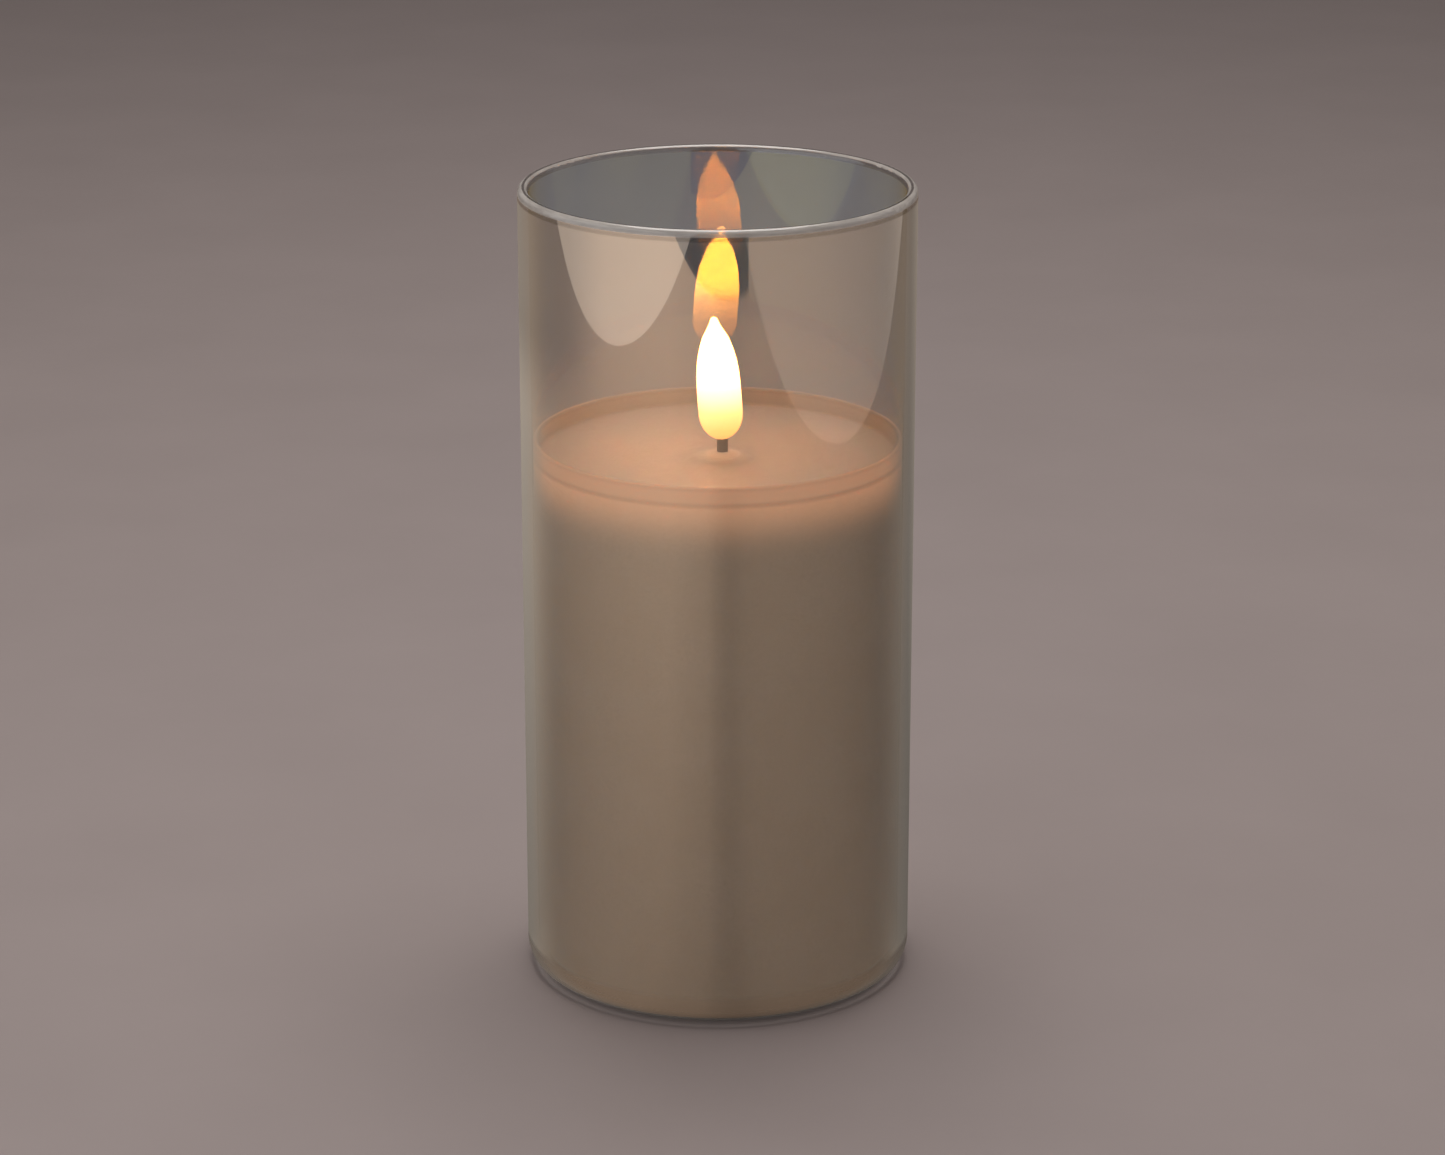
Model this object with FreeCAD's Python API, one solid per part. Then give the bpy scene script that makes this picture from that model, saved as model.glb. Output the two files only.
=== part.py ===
import FreeCAD, Part

# LED candle in a smoked glass cylinder, in millimetres.
# +Z is up, and the origin is the centre of the face that the glass stands on.
# The flame is seen from the front, which looks along +Y, with +X to the right.
# Each piece is written to its own STEP file, named after the piece.

import math
import os

from FreeCAD import Vector

UP = Vector(0, 0, 1)
ALONG_X = Vector(1, 0, 0)
ALONG_Y = Vector(0, 1, 0)

# Cells: two of size AAA, lying side by side along X
cell_length = 44.5            # over the terminal nub
cell_diameter = 10.5
cell_nub_length = 0.9
cell_nub_diameter = 3.6
cell_jacket = 0.2             # film round the can
cell_can_corner = 0.5
cell_gap = 0.5                # between the two cells

# Battery bay in the base, open downwards
bay_clearance = 0.25          # round the cells
bay_wall = 1.4
spring_length = 3.5           # as it is, pressed by a cell
contact_thickness = 0.4
contact_gap = 0.3             # between a flat contact and the cell's nub, and behind the plates

# Base housing: floor, drum round the bay, flange on the glass
base_recess = 0.8             # the floor's outer face stands this far above the table
floor_thickness = 3.0
drum_wall = 1.6
drum_clearance = 0.09         # between the bay's corner and the drum
wire_space = 4.2              # over the bay's roof, under the cover
flange_thickness = 1.8
flange_reach = 2.8            # outside the drum
boss_clearance = 0.4          # between the floor's rim and the hole in the glass
adhesive_thickness = 0.8

# Wax pillar
wax_fit = 0.4                 # between the drum and the wax
wax_wall = 3.85
wax_floor_height = 101.7      # the top face, where it meets the lip
wax_dish = 0.8                # how far the top face sinks towards the middle
wax_top_thickness = 6.2
wax_lip_height = 3.3          # thin raised edge against the glass
wax_lip_thickness = 1.0
wax_lip_fillet = 0.6
wax_inner_corner = 3.0
wick_mound_radius = 6.5       # low mound of wax round the wick
wick_mound_height = 1.0
wick_mound_bulge_share = 0.4

# Glass cylinder
glass_clearance = 0.3         # between the wax and the glass
glass_wall = 2.0
glass_height = 153.0
glass_heel_radius = 4.4       # outside rounding where the wall turns in at the bottom
glass_foot_width = 1.4        # flat ring that it stands on

# Wick, lamp and flame
wick_radius = 1.05
wick_bore_radius = 0.75
wick_offset = 0.9             # the wick stands this far right of the glass's axis
wick_shown = 2.4              # between the mound and the flame
wick_clearance = 0.06
flame_height = 23.6
flame_radius = 4.15
flame_wall = 0.9
flame_widest_share = 0.215    # of its height
flame_taper_power = 3.6
flame_taper_shares = (0.0, 0.2, 0.4, 0.55, 0.7, 0.82, 0.92)
flame_foot_degrees = (0, 18, 36, 54, 72, 90)
flame_tip_radius = 0.8
flame_tip_degrees = 35.0        # where the taper meets the round tip
flame_lean_degrees = 4.0
flame_hole_clearance = 0.15
led_radius = 1.5
led_height = 4.6
led_flange_radius = 1.75
led_flange_height = 0.6
led_seat = 2.1                # height of the lamp's foot in the flame
lead_radius = 0.22
lead_spacing = 0.62           # between the two leads' axes, in the wick
holder_boss_radius = 4.0
holder_boss_height = 4.4
holder_flange_radius = 8.0
holder_flange_thickness = 1.6
holder_nose_radius = 3.0      # sleeve that hangs below the flange
holder_nose_length = 2.4
holder_clearance = 0.1

# Leads and wires below the lamp
joint_spacing = 2.0           # between the two soldered joints' axes
joint_drop = 3.0              # how far the leads run out before the joints
joint_length = 9.0
sleeve_radius = 0.85
wire_radius = 0.55
wire_end_gap = 0.1            # between a lead's end and its wire's end
wire_slot_spacing = 2.0       # between the lamp's wires, in the cover's slot
wire_straight = 4.6           # straight down out of a joint's sleeve
wire_tab_straight = 3.0       # straight out from a contact's tab
wire_lift = 0.35              # between a battery wire and the bay's roof
pad_inset = 1.3               # of the solder points, from the board's edge
pad_spacing = 2.0

# Cover of the drum
cover_thickness = 1.6
cover_spigot_depth = 1.4
cover_spigot_wall = 1.2
cover_clearance = 0.2
cover_hole_length = 6.0       # slot for the lamp's two wires
cover_hole_width = 3.0

# Screws: one kind for the cover, one for the board
screw_radius = 1.1
screw_head_radius = 2.1
screw_head_height = 1.3
screw_length = 7.0
screw_post_radius = 2.4
screw_post_sink = 0.6         # how far a post runs into the drum's wall
screw_angle_degrees = 40.0
screw_hole_clearance = 0.2
screw_slot_width = 0.5
screw_slot_depth = 0.5
thread_clearance = 0.02

# Battery door, hinged at its left end
door_thickness = 1.8
door_clearance = 0.2
door_margin = 0.9             # how far the door's opening stops short of the bay's ends
hinge_pin_radius = 0.9
hinge_pin_length = 1.3
hinge_pin_clearance = 0.06
hinge_end_clearance = 0.2
door_rib_thickness = 1.2
door_rib_place_share = 0.55   # of the half length of a cell
door_rib_gap = 0.3            # below the cells
latch_width = 5.0
latch_thickness = 1.0
latch_rise = 0.7              # above the floor's upper face
latch_relief = 1.0            # slot beside the latch tongue
finger_notch_radius = 4.2
finger_notch_depth = 0.7

# Timer board, beside the bay. What it carries sets its length.
board_width = 9.4
board_thickness = 1.2
board_gap = 0.8               # between the bay's wall and the board
board_height = 6.2            # above the housing's floor
board_part_gap = 0.6          # between what stands on the board
board_screw_gap = 0.15        # between the chip and a screw's head
board_screw_inset = 2.6       # of a screw, from the board's end
board_screw_radius = 0.9
board_screw_head_radius = 1.7
board_screw_head_height = 1.1
board_screw_length = 5.0
board_post_radius = 2.1

# Slide switch, hanging under the board
switch_length = 11.4
switch_width = 5.4
switch_height = 4.6
switch_shell_thickness = 0.3
switch_base_thickness = 1.0
switch_travel = 4.0           # ON at one end, OFF between, TIMER at the other
switch_slider_length = 6.0
switch_slider_height = 1.3
switch_clearance = 0.2
knob_length = 3.4
knob_width = 2.4
knob_recess = 0.3             # the knob's face stands this far above the floor's outer face
knob_ridge_width = 0.5
knob_ridge_depth = 0.35
wiper_thickness = 0.2
wiper_width = 1.6
wiper_length = 4.6
pin_width = 0.6
pin_thickness = 0.3
pin_length = 3.0
pin_spacing = 2.5
pin_count = 4

# Parts on the board
chip_length = 4.9
chip_width = 3.9
chip_height = 1.4
chip_standoff = 0.15
chip_leg_pitch = 1.27
chip_leg_width = 0.42
chip_leg_thickness = 0.2
chip_leg_reach = 1.05
chip_leg_foot = 0.55
crystal_radius = 1.0
crystal_length = 6.0
crystal_place = 1.6           # its left end, from the board's middle
crystal_lead_radius = 0.2
crystal_lead_length = 2.0
crystal_lead_spacing = 0.9
crystal_inset = 1.7
capacitor_radius = 2.0
capacitor_height = 5.0
capacitor_groove = 0.25
capacitor_inset = 3.0
resistor_length = 2.0
resistor_width = 1.2
resistor_height = 0.5
resistor_place = 0.6
resistor_spacing = 2.0
resistor_inset = 1.6
resistor_count = 2

# Conical contact springs
spring_wire_radius = 0.28
spring_base_radius = 3.4
spring_tip_radius = 1.7
spring_turns = 3

# Contacts
contact_width = 8.6
contact_tab_width = 3.0
contact_tab_height = 1.6      # above the bay's roof
contact_slot_clearance = 0.2
contact_dimple_radius = 1.6

cut_overrun = 1.0             # how far a cutting shape runs past what it cuts

# Levels, from the table up
floor_bottom = base_recess
floor_top = floor_bottom + floor_thickness
cell_axis_height = floor_top + bay_clearance + cell_diameter / 2
bay_roof_bottom = cell_axis_height + cell_diameter / 2 + bay_clearance
bay_roof_top = bay_roof_bottom + bay_wall
drum_top = bay_roof_top + wire_space
cover_top = drum_top + cover_thickness
flange_bottom = glass_wall + adhesive_thickness
flange_top = flange_bottom + flange_thickness
wax_middle_height = wax_floor_height - wax_dish
wick_foot_height = wax_middle_height + wick_mound_height
wax_underside = wax_floor_height - wax_top_thickness
flame_bottom = wick_foot_height + wick_shown
led_foot = flame_bottom + led_seat
holder_bottom = wax_underside - holder_flange_thickness
holder_nose_bottom = holder_bottom - holder_nose_length

# Bay, seen from above
bay_half_length = cell_length / 2 + (spring_length + contact_gap) / 2 + contact_thickness
bay_half_width = cell_diameter + cell_gap / 2 + bay_clearance
cell_row = (cell_diameter + cell_gap) / 2
cell_shift = (spring_length - contact_gap) / 2

# Timer board, seen from above
board_near = bay_half_width + bay_wall + board_gap
board_far = board_near + board_width
board_middle = (board_near + board_far) / 2
pins_end = (pin_count - 1) / 2 * pin_spacing + pin_width / 2
chip_place = -(pins_end + board_part_gap + chip_length / 2)
capacitor_place = pins_end + board_part_gap + capacitor_radius
board_screw_place = (pins_end + board_part_gap + chip_length + board_screw_gap
                     + board_screw_head_radius)
board_length = 2 * (board_screw_place + board_screw_inset)
board_bottom = floor_top + board_height
board_top = board_bottom + board_thickness

# Radii, from the bay out to the glass
bay_corner = math.hypot(bay_half_length + bay_wall, bay_half_width + bay_wall)
board_corner = math.hypot(board_length / 2, board_far)
drum_inner_radius = max(bay_corner, board_corner) + drum_clearance
drum_radius = drum_inner_radius + drum_wall
wax_inner_radius = drum_radius + wax_fit
wax_radius = wax_inner_radius + wax_wall
glass_inner_radius = wax_radius + glass_clearance
glass_radius = glass_inner_radius + glass_wall
glass_hole_radius = glass_radius - glass_heel_radius - glass_foot_width - glass_wall / 2
boss_radius = glass_hole_radius - boss_clearance

# Door and its opening in the floor
opening_left = -bay_half_length + contact_thickness + door_clearance
opening_right = bay_half_length - door_margin
door_nose_radius = floor_thickness / 2
hinge_x = opening_left + door_clearance + door_nose_radius
hinge_z = floor_bottom + door_nose_radius
door_right = opening_right - door_clearance
door_half_width = bay_half_width - door_clearance

# Switch
switch_bottom = board_bottom - switch_height
knob_bottom = floor_bottom + knob_recess
knob_rest_x = -switch_travel / 2
switch_slot_length = knob_length + switch_travel + 2 * switch_clearance
switch_slot_width = knob_width + 2 * switch_clearance

# Lamp joints and wires, from the holder down
joint_top = holder_nose_bottom - joint_drop
joint_bottom = joint_top - joint_length
joint_middle = (joint_top + joint_bottom) / 2
wire_level = bay_roof_top + wire_space / 2
tab_wire_level = bay_roof_top + wire_lift + wire_radius
pad_row = board_near + pad_inset

# Screw places
screw_circle = drum_inner_radius - screw_post_radius + screw_post_sink
screw_angle = math.radians(screw_angle_degrees)
cover_screw_places = [
    (sx * screw_circle * math.cos(screw_angle), sy * screw_circle * math.sin(screw_angle))
    for sx in (-1, 1)
    for sy in (-1, 1)
]
board_screw_places = [
    (side * board_screw_place, board_middle) for side in (-1, 1)
]


def block(low, high):
    """A box between two opposite corners."""
    size = [b - a for a, b in zip(low, high)]
    return Part.makeBox(size[0], size[1], size[2], Vector(*low))


def rod(radius, bottom, top, x=0, y=0):
    """An upright cylinder."""
    return Part.makeCylinder(radius, top - bottom, Vector(x, y, bottom), UP)


def tube(outer, inner, bottom, top, x=0, y=0):
    """An upright tube."""
    bore = rod(inner, bottom - cut_overrun, top + cut_overrun, x, y)
    return rod(outer, bottom, top, x, y).cut(bore)


def lathe(outline):
    """A solid of revolution about Z. The outline is a closed chain of (radius, height) stretches:
    two points make a line, three an arc, and more a smooth curve."""
    edges = []
    for stretch in outline:
        points = [Vector(r, 0, z) for r, z in stretch]
        if len(points) == 2:
            edges.append(Part.makeLine(*points))
        elif len(points) == 3:
            edges.append(Part.Arc(*points).toShape())
        else:
            curve = Part.BSplineCurve()
            curve.interpolate(points)
            edges.append(curve.toShape())
    face = Part.Face(Part.Wire(edges))
    return face.revolve(Vector(0, 0, 0), UP, 360)


def on_arc(centre, radius, degrees):
    """A point of a round stretch in an outline."""
    angle = math.radians(degrees)
    return (centre[0] + radius * math.cos(angle), centre[1] + radius * math.sin(angle))


def arc(centre, radius, start, end):
    """Three points of an arc, by its angles in degrees."""
    return [on_arc(centre, radius, a) for a in (start, (start + end) / 2, end)]


def swept(route, radius):
    """A round wire along a route: straight runs joined by arcs that touch both runs."""
    points = [Vector(*p) for p in route]
    edges = []
    start = points[0]
    reach_share = 0.45
    for before, here, after in zip(points, points[1:], points[2:]):
        back = (before - here).normalize()
        ahead = (after - here).normalize()
        cut_back = reach_share * min(before.distanceToPoint(here), here.distanceToPoint(after))
        half_turn = (math.pi - back.getAngle(ahead)) / 2
        bend = cut_back / math.tan(half_turn)
        inward = (back + ahead).normalize()
        middle = here + inward * (bend / math.cos(half_turn) - bend)
        arc_start = here + back * cut_back
        arc_end = here + ahead * cut_back
        edges.append(Part.makeLine(start, arc_start))
        edges.append(Part.Arc(arc_start, middle, arc_end).toShape())
        start = arc_end
    edges.append(Part.makeLine(start, points[-1]))
    path = Part.Wire(edges)
    section = Part.Wire(Part.makeCircle(radius, points[0], points[1] - points[0]))
    return path.makePipeShell([section], True, False)


def glass_cylinder():
    """Straight wall, rounded heel drawn in to a hole, fire-polished rim and hole edge."""
    half = glass_wall / 2
    heel = (glass_radius - glass_heel_radius, glass_heel_radius)
    rim = (glass_radius - half, glass_height - half)
    edge = (glass_hole_radius + half, half)
    return lathe([
        [(glass_radius, heel[1]), (glass_radius, rim[1])],
        arc(rim, half, 0, 180),
        [(glass_inner_radius, rim[1]), (glass_inner_radius, heel[1])],
        arc(heel, glass_heel_radius - glass_wall, 0, -90),
        [(heel[0], glass_wall), (edge[0], glass_wall)],
        arc(edge, half, 90, 270),
        [(edge[0], 0), (heel[0], 0)],
        arc(heel, glass_heel_radius, -90, 0),
    ])


def wax_pillar():
    """Hollow wax with a dished top, a thin lip against the glass and a mound at the wick."""
    hole = wick_radius + wick_clearance
    lip = wax_lip_thickness / 2
    lip_centre = (wax_radius - lip, wax_floor_height + wax_lip_height - lip)
    lip_inside = wax_radius - wax_lip_thickness
    fillet = (lip_inside - wax_lip_fillet, wax_floor_height + wax_lip_fillet)
    corner = (wax_inner_radius - wax_inner_corner, wax_underside - wax_inner_corner)
    bore = holder_boss_radius + holder_clearance
    bore_top = wax_underside + holder_boss_height + holder_clearance
    dish_middle = (wick_mound_radius + fillet[0]) / 2
    dish_level = wax_middle_height + wax_dish * (dish_middle / fillet[0]) ** 2
    mound_middle = (hole + wick_mound_radius - wick_offset) / 2
    mound_level = wax_middle_height + wick_mound_height * wick_mound_bulge_share
    body = lathe([
        [(0, wax_middle_height), (wick_mound_radius, wax_middle_height)],
        [(wick_mound_radius, wax_middle_height), (dish_middle, dish_level),
         (fillet[0], wax_floor_height)],
        arc(fillet, wax_lip_fillet, -90, 0),
        [(lip_inside, fillet[1]), (lip_inside, lip_centre[1])],
        arc(lip_centre, lip, 180, 0),
        [(wax_radius, lip_centre[1]), (wax_radius, flange_top)],
        [(wax_radius, flange_top), (wax_inner_radius, flange_top)],
        [(wax_inner_radius, flange_top), (wax_inner_radius, corner[1])],
        arc(corner, wax_inner_corner, 0, 90),
        [(corner[0], wax_underside), (0, wax_underside)],
        [(0, wax_underside), (0, wax_middle_height)],
    ])
    mound = lathe([
        [(0, wick_foot_height), (hole, wick_foot_height)],
        [(hole, wick_foot_height), (mound_middle, mound_level),
         (wick_mound_radius, wax_middle_height)],
        [(wick_mound_radius, wax_middle_height), (wick_mound_radius, bore_top)],
        [(wick_mound_radius, bore_top), (0, bore_top)],
        [(0, bore_top), (0, wick_foot_height)],
    ])
    mound.translate(Vector(wick_offset, 0, 0))
    wax = body.fuse(mound).removeSplitter()
    wax = wax.cut(rod(bore, wax_underside - cut_overrun, bore_top, wick_offset))
    return wax.cut(rod(hole, wax_underside, wick_foot_height + cut_overrun, wick_offset))


def flame_outline(radius, height, bottom):
    """Half outline of the flame: a round foot, then a taper to a small round tip."""
    widest = height * flame_widest_share
    foot_turns = [math.radians(d) for d in flame_foot_degrees]
    foot = [(radius * math.sin(a), bottom + widest * (1 - math.cos(a))) for a in foot_turns]
    side = [
        (radius * (1 - share ** flame_taper_power), bottom + widest + (height - widest) * share)
        for share in flame_taper_shares
    ]
    top = bottom + height
    tip_centre = (0, top - flame_tip_radius)
    tip = arc(tip_centre, flame_tip_radius, flame_tip_degrees, 90)
    return [foot, side + tip[:1], tip, [(0, top), (0, bottom)]]


def flame_diffuser():
    """Hollow frosted flame, leaning to the left on the wick."""
    outer = lathe(flame_outline(flame_radius, flame_height, flame_bottom))
    inner = lathe(flame_outline(flame_radius - flame_wall, flame_height - 3 * flame_wall,
                                flame_bottom + flame_wall))
    hole = rod(wick_radius + flame_hole_clearance, flame_bottom - cut_overrun, led_foot)
    flame = outer.cut(inner).cut(hole)
    flame.rotate(Vector(0, 0, flame_bottom), ALONG_Y, -flame_lean_degrees)
    flame.translate(Vector(wick_offset, 0, 0))
    return flame


def led_lamp():
    """Round lamp with a domed lens, standing on the wick inside the flame."""
    shoulder = led_foot + led_height - led_radius
    lamp = rod(led_radius, led_foot, shoulder, wick_offset)
    lamp = lamp.fuse(Part.makeSphere(led_radius, Vector(wick_offset, 0, shoulder)))
    return lamp.fuse(rod(led_flange_radius, led_foot, led_foot + led_flange_height, wick_offset))


def wick_tube():
    """Black sleeve that looks like a wick and carries the lamp's leads."""
    return tube(wick_radius, wick_bore_radius, holder_nose_bottom, led_foot, wick_offset)


def lead_route(side):
    """From the lamp's foot down the wick, out to the soldered joint."""
    inner = wick_offset + side * lead_spacing / 2
    outer = wick_offset + side * joint_spacing / 2
    return [
        (inner, 0, led_foot),
        (inner, 0, holder_nose_bottom),
        (outer, 0, joint_top),
        (outer, 0, joint_middle + wire_end_gap / 2),
    ]


def led_leads():
    """The lamp's two leads."""
    return Part.makeCompound([swept(lead_route(side), lead_radius) for side in (-1, 1)])


def joint_sleeves():
    """Shrink sleeves over the joints of leads and wires."""
    return Part.makeCompound([
        tube(sleeve_radius, wire_radius, joint_bottom, joint_top,
             wick_offset + side * joint_spacing / 2)
        for side in (-1, 1)
    ])


def lamp_wire(side):
    """One of the lamp's wires: out of its sleeve, down the hollow wax, through the cover's slot
    and over the battery bay to its solder point on the board."""
    top = wick_offset + side * joint_spacing / 2
    slot = side * wire_slot_spacing / 2
    pad = side * pad_spacing / 2 - board_screw_place
    drop = joint_bottom - cover_top
    # how far down each bend lies, as a share of the drop, and how far the wire strays there
    bends = [(0.32, 0.9, 2.1), (0.56, -0.8, -1.2), (0.8, 0.4, -1.6)]
    route = [(top, 0, joint_middle - wire_end_gap / 2), (top, 0, joint_bottom - wire_straight)]
    for share, stray_x, stray_y in bends:
        middle = top + (slot - top) * share
        route.append((middle + stray_x, stray_y, joint_bottom - drop * share))
    route += [
        (slot, 0, cover_top + cover_thickness),
        (slot, 0.4, wire_level),
        (slot + (pad - slot) * 0.5, pad_row * 0.5, wire_level - 0.3),
        (pad, pad_row, wire_level - 0.8),
        (pad, pad_row, board_top),
    ]
    return swept(route, wire_radius)


def battery_wire(row):
    """Wire from a contact's solder tab, over the bay to its solder point on the board."""
    start = bay_half_length - contact_thickness
    pad = board_screw_place + row * pad_spacing / 2
    if row > 0:
        bends = [(16.9, 8.2, wire_level - 0.3)]
    else:
        bends = [(16.4, -3.6, wire_level - 0.4), (11.0, 3.6, wire_level - 0.2)]
    route = [
        (start, row * cell_row, tab_wire_level),
        (start - wire_tab_straight, row * cell_row, tab_wire_level),
    ] + bends
    route += [(pad, pad_row, wire_level - 0.8), (pad, pad_row, board_top)]
    return swept(route, wire_radius)


def lamp_holder():
    """Plastic bush under the wax top that holds the wick."""
    bush = rod(holder_flange_radius, holder_bottom, wax_underside, wick_offset)
    boss_top = wax_underside + holder_boss_height
    bush = bush.fuse(rod(holder_boss_radius, wax_underside, boss_top, wick_offset))
    bush = bush.fuse(rod(holder_nose_radius, holder_nose_bottom, holder_bottom, wick_offset))
    bore = rod(wick_radius + wick_clearance, holder_nose_bottom - cut_overrun,
               boss_top + cut_overrun, wick_offset)
    return bush.cut(bore)


def base_housing():
    """Floor, drum, flange, battery bay, posts for board and cover."""
    body = rod(boss_radius, floor_bottom, floor_top)
    flange = tube(drum_radius + flange_reach, drum_inner_radius, flange_bottom, flange_top)
    drum = tube(drum_radius, drum_inner_radius, flange_bottom, drum_top)
    floor = rod(drum_radius, flange_bottom, floor_top)
    body = body.fuse([flange, drum, floor])
    bay = block(
        (-bay_half_length - bay_wall, -bay_half_width - bay_wall, flange_bottom),
        (bay_half_length + bay_wall, bay_half_width + bay_wall, bay_roof_top),
    )
    posts = [rod(screw_post_radius, floor_top, drum_top, x, y) for x, y in cover_screw_places]
    posts += [rod(board_post_radius, floor_top, board_bottom, x, y)
              for x, y in board_screw_places]
    body = body.fuse([bay] + posts)
    inside = block(
        (-bay_half_length, -bay_half_width, floor_top),
        (bay_half_length, bay_half_width, bay_roof_bottom),
    )
    opening = block(
        (opening_left, -bay_half_width, floor_bottom - cut_overrun),
        (opening_right, bay_half_width, floor_top + cut_overrun),
    )
    hinge_length = 2 * (bay_half_width + hinge_pin_length + hinge_end_clearance
                        - door_clearance)
    hinge = Part.makeCylinder(hinge_pin_radius + hinge_pin_clearance, hinge_length,
                              Vector(hinge_x, -hinge_length / 2, hinge_z), ALONG_Y)
    slot = block(
        (-switch_slot_length / 2, board_middle - switch_slot_width / 2,
         floor_bottom - cut_overrun),
        (switch_slot_length / 2, board_middle + switch_slot_width / 2,
         floor_top + cut_overrun),
    )
    cuts = [inside, opening, hinge, slot]
    cuts += [tab_slot(place) for place in tab_places]
    cuts += [rod(screw_radius + thread_clearance,
                 drum_top + cover_thickness - screw_length - cut_overrun,
                 drum_top + cut_overrun, x, y) for x, y in cover_screw_places]
    cuts += [rod(board_screw_radius + thread_clearance,
                 board_top - board_screw_length - cut_overrun,
                 board_bottom + cut_overrun, x, y) for x, y in board_screw_places]
    return body.cut(cuts)


# Places of the solder tabs that stand up through the bay's roof: (side of the bay, row)
tab_places = [(1, -1), (1, 1)]


def tab_slot(place):
    """Slot in the bay's roof for a contact's solder tab."""
    side, row = place
    middle = side * (bay_half_length - contact_thickness / 2)
    half_thickness = contact_thickness / 2 + contact_slot_clearance
    half_width = contact_tab_width / 2 + contact_slot_clearance
    return block(
        (middle - half_thickness, row * cell_row - half_width, bay_roof_bottom - cut_overrun),
        (middle + half_thickness, row * cell_row + half_width, bay_roof_top + cut_overrun),
    )


def housing_cover():
    """Lid of the drum, with a slot for the lamp's wires."""
    lid = rod(drum_radius, drum_top, cover_top)
    rim = drum_inner_radius - cover_clearance
    lid = lid.fuse(tube(rim, rim - cover_spigot_wall, drum_top - cover_spigot_depth, drum_top))
    half_slot = (cover_hole_length - cover_hole_width) / 2
    low = drum_top - cut_overrun
    high = cover_top + cut_overrun
    slot = block((-half_slot, -cover_hole_width / 2, low), (half_slot, cover_hole_width / 2, high))
    ends = [rod(cover_hole_width / 2, low, high, side * half_slot) for side in (-1, 1)]
    lid = lid.cut([slot] + ends)
    post_room = [rod(screw_post_radius + cover_clearance, drum_top - 2 * cover_spigot_depth,
                     drum_top, x, y) for x, y in cover_screw_places]
    holes = [rod(screw_radius + screw_hole_clearance, low, high, x, y)
             for x, y in cover_screw_places]
    return lid.cut(post_room + holes)


def screw(radius, head_radius, head_height, length, seat, x, y):
    """A pan-head screw with a slot, its head standing on the seat."""
    shank = rod(radius, seat - length, seat, x, y)
    head = rod(head_radius, seat, seat + head_height, x, y)
    head = head.makeFillet(head_height / 2, [e for e in head.Edges
                                             if e.BoundBox.ZMin > seat + head_height / 2
                                             and e.BoundBox.ZMax - e.BoundBox.ZMin < head_height / 2
                                             and e.Closed])
    slot = block(
        (x - head_radius - cut_overrun, y - screw_slot_width / 2,
         seat + head_height - screw_slot_depth),
        (x + head_radius + cut_overrun, y + screw_slot_width / 2,
         seat + head_height + cut_overrun),
    )
    return shank.fuse(head).cut(slot)


def cover_screws():
    """Four screws that hold the cover."""
    return Part.makeCompound([
        screw(screw_radius, screw_head_radius, screw_head_height, screw_length, cover_top, x, y)
        for x, y in cover_screw_places
    ])


def board_screws():
    """Two screws that hold the timer board."""
    return Part.makeCompound([
        screw(board_screw_radius, board_screw_head_radius, board_screw_head_height,
              board_screw_length, board_top, x, y)
        for x, y in board_screw_places
    ])


def adhesive_ring():
    """Clear adhesive between the flange and the flat of the glass's bottom."""
    inner = glass_hole_radius + glass_wall / 2
    return tube(inner + glass_foot_width, inner, glass_wall, flange_bottom)


def battery_door():
    """Door with a round hinge nose, two pins, ribs under the cells and a latch tongue."""
    half_width = door_half_width
    inner_face = floor_bottom + door_thickness
    plate = block((hinge_x, -half_width, floor_bottom), (door_right, half_width, inner_face))
    nose = Part.makeCylinder(door_nose_radius, 2 * half_width,
                             Vector(hinge_x, -half_width, hinge_z), ALONG_Y)
    pins = Part.makeCylinder(hinge_pin_radius, 2 * (half_width + hinge_pin_length),
                             Vector(hinge_x, -half_width - hinge_pin_length, hinge_z), ALONG_Y)
    rib_top = floor_top + bay_clearance - door_rib_gap
    rib_places = [side * door_rib_place_share * cell_length / 2 for side in (-1, 1)]
    ribs = [
        block((middle - door_rib_thickness / 2, -half_width, floor_bottom),
              (middle + door_rib_thickness / 2, half_width, rib_top))
        for middle in rib_places
    ]
    tongue_left = door_right - latch_thickness
    tip_level = floor_top + latch_rise - latch_thickness / 2
    tongue = block((tongue_left, -latch_width / 2, floor_bottom),
                   (door_right, latch_width / 2, tip_level))
    tip = Part.makeCylinder(latch_thickness / 2, latch_width,
                            Vector(door_right - latch_thickness / 2, -latch_width / 2, tip_level),
                            ALONG_Y)
    door = plate.fuse([nose, pins, tongue, tip] + ribs)
    relief_left = tongue_left - latch_relief
    reliefs = [
        block((relief_left, middle - latch_relief / 2, floor_bottom - cut_overrun),
              (door_right + cut_overrun, middle + latch_relief / 2, inner_face + cut_overrun))
        for middle in [side * (latch_width + latch_relief) / 2 for side in (-1, 1)]
    ]
    thinned = block((relief_left, -latch_width / 2, floor_bottom + door_thickness / 2),
                    (tongue_left, latch_width / 2, inner_face + cut_overrun))
    ball = (finger_notch_radius ** 2 + finger_notch_depth ** 2) / (2 * finger_notch_depth)
    notch = Part.makeSphere(ball, Vector(relief_left - finger_notch_radius, 0,
                                         floor_bottom + finger_notch_depth - ball))
    return door.cut(reliefs + [thinned, notch])


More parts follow.
